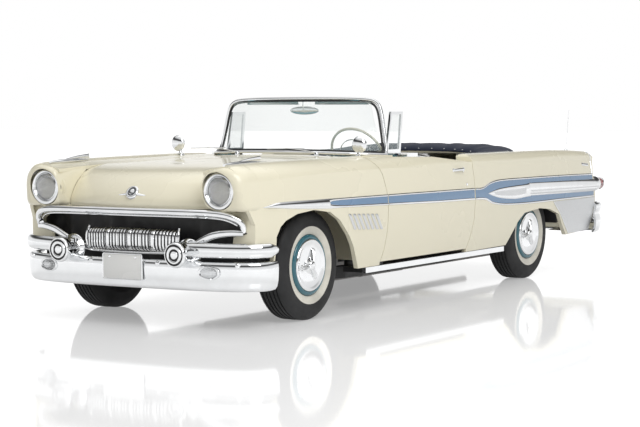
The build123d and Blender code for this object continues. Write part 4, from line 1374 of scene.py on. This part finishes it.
class CONVERTIBLE_OT_cabin(bpy.types.Operator):
    """Fill the cabin: dashboard, steering wheel, seats and the cover over the folded top"""
    bl_idname = "convertible.cabin"
    bl_label = "Cabin"

    DASH_HALF, DASH_BACK = 772, 1150
    # The speedometer and the two small dials as (x, radius)
    DIALS = ((345, 74), (190, 30), (500, 30))
    # The steering wheel's rim: how far its middle lies inside the box, and half its thickness
    RIM_SPARE, RIM_HALF = 10, 9.4
    # Cloth: voxel size in metres, pressure, frames and the farthest a point may move, in millimetres
    VOXEL, PRESSURE, FRAMES, CAP = 0.012, 4, 20, 14
    # How high and how far out the folded top's cover may reach, in metres, and its number of studs
    COVER_TOP, COVER_SIDE, STUDS = 1.044, 0.785, 23
    # Where the doors' and quarters' inner skins lie, and the seams of their trim
    TRIM_X, SEAMS = 794.6, (560, 760)

    def execute(self, context):
        self.dashboard()
        self.steering()
        self.seats()
        self.cover()
        self.door_trims()
        self.belts()
        return {"FINISHED"}

    def dashboard(self):
        """The dashboard's pad and face, with its dials, knobs and speaker bars."""
        start = [(0, 912), (200, 924), (380, 956), (520, 1008), (610, 1070), (680, 1120), (772, 1150)]
        face = [(0, 1150, 978), (1, 1168, 958), (2, 1170, 935), (3, 1158, 905), (4, 1148, 860),
                (5, 1140, 800), (6, 1120, 748), (7, 1080, 742)]

        def place(u, v):
            x = self.DASH_HALF * (2 * u - 1)
            if v < 0.4:
                t = v / 0.4
                y = along(start, abs(x)) * (1 - t) + self.DASH_BACK * t
                z = 996 - 18 * t
            else:
                i = 7 * (v - 0.4) / 0.6
                y = along([(k, back) for k, back, height in face], i)
                z = along([(k, height) for k, back, height in face], i)
            lift = 14 * math.exp(-((x - 345) / 150) ** 4) * math.exp(-((v - 0.42) / 0.12) ** 2)
            return at(x, y, z + lift)

        pad = shaped_grid(90, 44, place)
        flip(pad)
        walled(pad, 0.012, 50)
        keep(pad, "dressed_dashboard", "dash_enamel", replaced=["dashboard"])
        trim = [rod([at(x, 1160, 868) for x in (-760, -400, 0, 400, 760)], 6)]
        for x, radius in self.DIALS:
            trim.append(turned([(radius, -10), (radius + 6, 2), (radius + 2, 9), (radius - 3, 7),
                                (radius - 6, -2),
                                (radius, -10)], at(x, 1158, 905), Vector((0, 1, 0.15)), 40))
        for x in (-60, -20, 20, 60):
            trim.append(turned([(0, 22), (9, 20), (12, 12), (8, 4), (8, -6), (0, -6)], at(x, 1150, 842),
                               BACK, 20))
        grille_bars = [rod([at(x, 1157, 800), at(x, 1162, 830), at(x, 1165, 856)], 2.4) for x in range(-640,
            -380, 14)]
        keep(joined(trim + grille_bars), "dash_trim")
        dials = [turned([(0, 3), (radius - 4, 2), (radius - 2, -4), (0, -4)], at(x, 1158, 905),
                        Vector((0, 1, 0.15)), 32) for x, radius in self.DIALS]
        keep(joined(dials), "dash_dials", "black_satin_and_shade")

    def steering(self):
        """The knurled rim, spokes, hub and horn ring."""
        low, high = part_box("steering_wheel")
        centre = (low + high) / 2
        axis = Vector((0, 0.88, 0.47)).normalized()
        top = Vector((0, -axis.z, axis.y))
        radius = (high.x - low.x) / 2 / MM - self.RIM_SPARE

        def place(u, v):
            turn = 2 * math.pi * u
            around = 2 * math.pi * v
            knurl = 0.7 * math.cos(60 * turn) if 0.5 < v < 0.9 else 0
            out = OUT * math.cos(turn) + top * math.sin(turn)
            return (centre + out * ((radius + (self.RIM_HALF + knurl) * math.cos(around)) * MM)
                    + axis * (self.RIM_HALF * math.sin(around) * MM))

        rim = shaped_grid(160, 14, place)
        edit(rim, weld, face_out)
        smooth(rim)
        spokes = []
        for turn in (math.radians(8), math.radians(172), math.radians(270)):
            out = OUT * math.cos(turn) + top * math.sin(turn)
            spokes.append(swept([centre - axis * 0.030 + out * 0.03, centre - axis * 0.022 + out * 0.11,
                                 centre + out * (radius * MM)], oval(5, 11, 12), axis, 20,
                                lambda u: 1.1 - 0.35 * u))
        hub = turned([(0, 2), (30, 0), (42, -8), (46, -22), (40, -40), (26, -60), (0, -62)],
                     centre - axis * 0.004, axis, 40)
        keep(joined([rim, *spokes, hub]), "dressed_steering_wheel", "cream_plastic", "steering_wheel",
             ["steering_wheel"])
        horn = turned([(radius * 0.62, -2), (radius * 0.62 + 4, 2), (radius * 0.62, 6),
                       (radius * 0.62 - 4, 2),
                       (radius * 0.62, -2)], centre - axis * 0.018, axis, 64)
        cap = turned([(0, 12), (16, 10), (26, 4), (28, -2), (0, -2)], centre - axis * 0.002, axis, 32)
        keep(joined([horn, cap]), "horn_ring", body="steering_wheel")

    def puffed(self, pad):
        """Swells a pad as cloth under pressure and holds each point near where it was."""
        apply(pad, "REMESH", mode="VOXEL", voxel_size=self.VOXEL)
        rest = [vertex.co.copy() for vertex in pad.data.vertices]
        pick(pad)
        bpy.ops.object.modifier_add(type="CLOTH")
        cloth = pad.modifiers[-1]
        cloth.settings.use_pressure = True
        cloth.settings.uniform_pressure_force = self.PRESSURE
        cloth.settings.effector_weights.gravity = 0
        cloth.point_cache.frame_start = 1
        cloth.point_cache.frame_end = self.FRAMES
        for frame in range(1, self.FRAMES + 1):
            bpy.context.scene.frame_set(frame)
        pick(pad)
        bpy.ops.object.modifier_apply(modifier=cloth.name)
        bpy.context.scene.frame_set(1)
        for vertex, old in zip(pad.data.vertices, rest):
            move = vertex.co - old
            if move.length > self.CAP * MM:
                vertex.co = old + move.normalized() * (self.CAP * MM)
        return pad

    def cushion(self, name, low, high, node, rake, channels, way):
        """One seat pad: a block that leans back by rake, swelled as cloth, then sewn in channels.
        Its seams show on top where way is "up", and on both faces where it is "back"."""
        low, high = at(*low), at(*high)
        pad = block(low + Vector((0.012, 0.012, 0.012)), high - Vector((0.012, 0.012, 0.012)), 46, 5)
        apply(pad, "SUBSURF", levels=1, render_levels=1, subdivision_type="SIMPLE")
        middle = (low + high) / 2
        for vertex in pad.data.vertices:
            share = (vertex.co.z - low.z) / (high.z - low.z)
            vertex.co.y += rake * share * MM
        self.puffed(pad)
        reach = high - low
        for vertex in pad.data.vertices:
            u = (vertex.co.x - middle.x) / (reach.x / 2)
            across = vertex.co.x / MM
            nearest = min(channels, key=lambda seam: abs(across - seam))
            groove = math.exp(-((across - nearest) / 9) ** 2)
            soft = 1 - u ** 2
            if way == "up":
                face = max(0.0, (vertex.co.z - middle.z) / (reach.z / 2))
                vertex.co.z -= (11 * groove + 8 * (1 - soft)) * MM * face
            else:
                face = (vertex.co.y - middle.y - rake * 0.5 * MM) / (reach.y / 2)
                sign = -1 if face < 0 else 1
                vertex.co.y -= sign * 10 * groove * MM * min(1.0, abs(face))
                edge = max(0.0, (vertex.co.z - middle.z) / (reach.z / 2)) ** 4
                vertex.co.z -= 14 * (1 - soft) * edge * MM
        apply(pad, "SUBSURF", levels=1, render_levels=1)
        smooth(pad, 80)
        keep(pad, name, "seat_leather", replaced=[node] if node else [])

    def seats(self):
        """Front and rear cushions and backs."""
        front = list(range(-660, 661, 66))
        self.cushion("front_cushion", (-736, 1336, 420), (736, 1830, 590), "front_seat_cushion", 0, front,
                     "up")
        for side, name in ((1, "left"), (-1, "right")):
            low_x, high_x = (6, 736) if side > 0 else (-736, -6)
            self.cushion(f"front_back_{name}", (low_x, 1806, 585), (high_x, 1930, 972),
                         "front_seat_back" if side > 0 else None, 60, front, "back")
        rear_lines = list(range(-520, 521, 65))
        self.cushion("rear_cushion", (-551, 2380, 520), (551, 2760, 690), "rear_seat", 0, rear_lines, "up")
        self.cushion("rear_back", (-551, 2740, 600), (551, 2850, 955), None, 60, rear_lines, "back")

    def cover(self):
        """The cloth cover over the folded top: a hump across the car with an arm along each side."""
        left = through((744, 2112, 932), (744, 2300, 936), (738, 2500, 942), (724, 2700, 952),
                       (690, 2870, 968), (600, 3010, 982), (440, 3100, 990), (220, 3140, 994), (0, 3150, 996))
        route = path_through(mirror_points(left))

        def place(u, v):
            centre = route(u)
            heading = (route(min(u + 0.004, 1)) - route(max(u - 0.004, 0))).normalized()
            out = UP.cross(heading).normalized()
            mid = 1 - abs(2 * u - 1)
            wide = 34 + 190 * min(1.0, max(0.0, (mid - 0.18) / 0.5)) ** 1.3
            tall = 12 + 42 * min(1.0, max(0.0, (mid - 0.1) / 0.6))
            across = 2 * v - 1
            crown = max(0.0, 1 - abs(across) ** 2.6) ** 0.5
            wave = 3.0 * math.sin(mid * 46 + 2.2 * across) * crown
            wave += 1.6 * math.sin(u * 150 + 5 * across) * crown ** 2
            spot = centre + out * (wide * across * MM) + UP * ((tall * crown + wave * min(1.0,
                mid * 4) - 6) * MM)
            spot.z = min(spot.z, self.COVER_TOP)
            spot.x = max(-self.COVER_SIDE, min(self.COVER_SIDE, spot.x))
            return spot

        cloth = shaped_grid(240, 36, place)
        edit(cloth, weld)
        turn_towards(cloth, UP)
        apply(cloth, "SOLIDIFY", thickness=0.014, offset=-1)
        apply(cloth, "SUBSURF", levels=1, render_levels=1)
        smooth(cloth, 70)
        keep(cloth, "boot_cover", "cover_cloth", replaced=["top_boot"])
        studs = []
        for i in range(1, self.STUDS + 1):
            spot = place(i / (self.STUDS + 1), 0.985)
            studs.append(turned([(0, 5), (5, 4), (7, 0), (0, 0)], spot + UP * 0.002, UP, 12))
        keep(joined(studs), "cover_studs")

    def door_trims(self):
        """Padded panels on the doors' inner sides and beside the rear seat."""
        seams = self.SEAMS
        for name, body, start, end, low, high in (
            ("door_trim", "door", 1215, 2035, 350, 915),
            ("quarter_trim", "body", 2072, 2560, 350, 900),
        ):
            def place(u, v, start=start, end=end, low=low, high=high):
                y = start + (end - start) * u
                z = low + (high - low) * v
                edge = min(1.0, 14 * u, 14 * (1 - u), 12 * v, 12 * (1 - v)) ** 0.5
                seam = sum(math.exp(-((z - line) / 6) ** 2) for line in seams)
                pleat = 0.5 + 0.5 * math.cos(2 * math.pi * y / 52) if seams[0] < z < seams[1] else 1
                return at(self.TRIM_X - 12 * edge * (0.78 + 0.22 * pleat) + 5 * min(1, seam), y, z)

            panel = shaped_grid(120, 50, place)
            flip(panel)
            keep_pair(walled(panel, 0.0015, 60), name, "seat_leather", body)
            strip = rod([at(x, y, seams[1] + 12) for x, y in (
                (780, start + 20), (779, (start + end) / 2), (780, end - 20))], 4)
            keep_pair(strip, f"{name}_strip", body=body)

    def belts(self):
        """Chrome strips along the doors' tops and the edges by the cover."""
        spots = []
        for y in (1500, 1620, 1760, 1900, 2044):
            spots.append(at(800, y, skin_z(DOOR, 806, y, 945) + 3))
        strip = swept(spots, oval(5, 9, 10), UP, 30)
        keep_pair(strip, "door_belt", body="door")
        spots = []
        for y in (2066, 2150, 2260, 2400, 2600, 2800, 2900):
            spots.append(at(802, y, skin_z(QUARTER, 808, y, 975) + 3))
        strip = swept(spots, oval(5, 8, 10), UP, 44)
        keep_pair(strip, "quarter_belt")
        handles = []
        x = skin_x(DOOR, 1820, 889)
        grip = swept([at(x - 2, 1744, 889), at(x + 12, 1768, 890), at(x + 18, 1820, 891),
                      at(x + 16, 1880, 890), at(x + 7, 1906, 889), at(x - 2, 1912, 889)],
                     oval(6, 10, 12), OUT, 40)
        handles.append(grip)
        for y, radius in ((1752, 13), (1902, 17)):
            handles.append(turned([(radius, -4), (radius, 4), (radius - 5, 9), (0, 10)],
                                  at(skin_x(DOOR, y, 889), y, 889), OUT, 28))
        handles.append(turned([(11, -4), (11, 2), (8, 5), (3, 5), (2, 3), (0, 3)],
                              at(skin_x(DOOR, 1937, 782), 1937, 782), OUT, 24))
        keep_pair(joined(handles), "door_handle", body="door")


class CONVERTIBLE_OT_rear(bpy.types.Operator):
    """Dress the tail: lamps, bumper, panel, fins and antenna"""
    bl_idname = "convertible.rear"
    bl_label = "Rear end"

    def execute(self, context):
        self.tail_lamps()
        self.bumper()
        self.tail_faces()
        self.deck_trim()
        self.fins()
        return {"FINISHED"}

    def tail_lamps(self):
        """A chrome pod and a red lens at the end of each tube."""
        centre = at(884, 4170, 690)
        axis = BACK
        pod = turned([(52, 0), (58, 40), (62, 90), (64, 130), (62, 150), (56, 158), (50, 156), (50, 140),
                      (0, 138), (0, 0)], centre, axis, 56)
        band = turned([(48, 236), (52, 240), (52, 248), (47, 252), (44, 250), (44, 238), (48, 236)], centre,
                      axis, 56)
        keep_pair(joined([pod, band]), "tail_lamp_pod")
        lens = turned([(0, 304), (12, 303), (22, 298), (30, 288), (36, 272), (42, 254), (47, 232), (49, 206),
                       (50, 180), (50, 150), (0, 148)], centre, axis, 56)
        keep_pair(lens, "tail_lamp_lens", "red_lamp", whole="tail_lamps")

    def bumper(self):
        """The rear bumper with its two round guards."""
        left = [at(x, y, 420) for x, y in (
            (934, 4222), (932, 4290), (918, 4360), (884, 4420), (820, 4462), (700, 4488), (500, 4500),
            (250, 4504), (0, 4505))]
        section = [(-30, 100), (-16, 112), (0, 116), (12, 104), (16, 84), (12, 62), (2, 44), (-2, 30),
                   (2, 14), (10, -6), (14, -34), (12, -74), (2, -104), (-12, -124), (-24, -129), (-26, -120),
                   (-14, -100), (-4, -70), (-6, -20), (-16, 30), (-8, 60), (-4, 84), (-16, 98)]
        blade = swept(mirror_points(left), [(-away, over) for away, over in section], None, 130,
                      smooth_angle=60)
        pods = []
        for side in (1, -1):
            pods.append(turned([(0, 34), (20, 33), (34, 27), (44, 14), (50, -4), (54, -30), (58, -44),
                                (0, -46)], at(side * 560, 4503, 455), BACK, 40))
        keep(joined([blade, *pods]), "dressed_bumper_rear", replaced=["rear_bumper"])

    def tail_faces(self):
        """The upright faces that close the fins round the tail lamps."""
        def place(u, v):
            z = 330 + 618 * v
            outer = skin_x(QUARTER, 4185, min(z, 880)) - 4 if z < 880 else skin_x(QUARTER, 4150, z) - 6
            inner = 604.0
            if z > 800:
                inner = 604 + (outer - 40 - 604) * min(1.0, (z - 800) / 120) ** 0.8
            x = inner + (outer - inner) * u
            bow = 16 * math.sin(math.pi * min(1, v * 1.1))
            edge = 34 * u ** 5
            return at(x, 4234 + bow - edge, z)

        face = shaped_grid(28, 44, place)
        turn_towards(face, BACK)
        keep_pair(walled(face, 0.004, 60), "tail_face", "cream_enamel")

    def deck_trim(self):
        """Two ribs and a handle bar on the deck lid, and the blank rear plate."""
        ribs = []
        for x in (-300, 300):
            spots = [at(x, y, skin_z(DECK, x, y, 930) + 1) for y in (3460, 3650, 3850, 4050, 4200)]
            ribs.append(swept(spots, oval(6, 8, 10), UP, 50, lambda u: 0.4 + 0.6 * math.sin(math.pi * u)))
        handle = rod(through((-120, 4282, 690), (0, 4288, 694), (120, 4282, 690)), 9)
        keep(joined([*ribs, handle]), "deck_trim", body="deck_lid")
        plate = block(at(-150, 4283, 440), at(150, 4286, 590), 1, 2)
        keep(plate, "rear_plate", "plate_enamel")

    def fins(self):
        """The fins' rear edges and side bars, and the antenna."""
        spots = []
        for z, y in ((780, 4196), (830, 4206), (880, 4214), (915, 4214), (938, 4206), (950, 4180)):
            spots.append(at(skin_x(QUARTER, y - 20, min(z, 940)) - 6, y, z))
        edge = swept(spots, oval(6, 9, 10), Vector((0, 1, 0.2)), 40)
        keep_pair(edge, "fin_edge")

        def place(u, v):
            y = 4010 + 138 * u
            z = 861 - 10 * u + 11 * (2 * v - 1)
            edge_fade = min(1.0, 12 * u, 12 * (1 - u))
            return at(skin_x(QUARTER, y, z) + STANDOFF + 5 * math.sin(math.pi * v) ** 0.5 * edge_fade
                      + 1.2 * math.cos(2 * math.pi * u * 14) * edge_fade, y, z)

        bar = shaped_grid(112, 8, place)
        keep_pair(walled(bar, 0.002, 50), "fin_bar")
        base_z = skin_z(QUARTER, 800, 3950, 975)
        base = turned([(18, -4), (18, 4), (12, 12), (6, 18), (0, 20)], at(800, 3950, base_z), UP, 24)
        mast = rod([at(800, 3950, base_z + 14), at(800, 3972, base_z + 140), at(800, 4006, base_z + 330)], 3,
                   0.5)
        keep(joined([base, mast]), "antenna")


class CONVERTIBLE_PT_panel(bpy.types.Panel):
    """Lists the steps that dress the convertible"""
    bl_idname = "CONVERTIBLE_PT_panel"
    bl_label = "Convertible"
    bl_space_type = "VIEW_3D"
    bl_region_type = "UI"
    bl_category = "Convertible"

    def draw(self, context):
        column = self.layout.column()
        for step in STEPS:
            column.operator(step)


STEP_CLASSES = [
    CONVERTIBLE_OT_finishes,
    CONVERTIBLE_OT_wheels,
    CONVERTIBLE_OT_side_trim,
    CONVERTIBLE_OT_hood,
    CONVERTIBLE_OT_front,
    CONVERTIBLE_OT_windshield,
    CONVERTIBLE_OT_cabin,
    CONVERTIBLE_OT_rear,
    CONVERTIBLE_OT_stage,
]
STEPS = [step.bl_idname for step in STEP_CLASSES]
CLASSES = [Colours, View, *STEP_CLASSES, CONVERTIBLE_PT_panel]


def register():
    for made in CLASSES:
        bpy.utils.register_class(made)
    bpy.types.Scene.convertible_colours = bpy.props.PointerProperty(type=Colours)
    bpy.types.Scene.convertible_view = bpy.props.PointerProperty(type=View)


def unregister():
    del bpy.types.Scene.convertible_view
    del bpy.types.Scene.convertible_colours
    for made in reversed(CLASSES):
        bpy.utils.unregister_class(made)


def main():
    register()
    for step in STEPS:
        group, action = step.split(".")
        getattr(getattr(bpy.ops, group), action)()


if __name__ == "__main__":
    main()
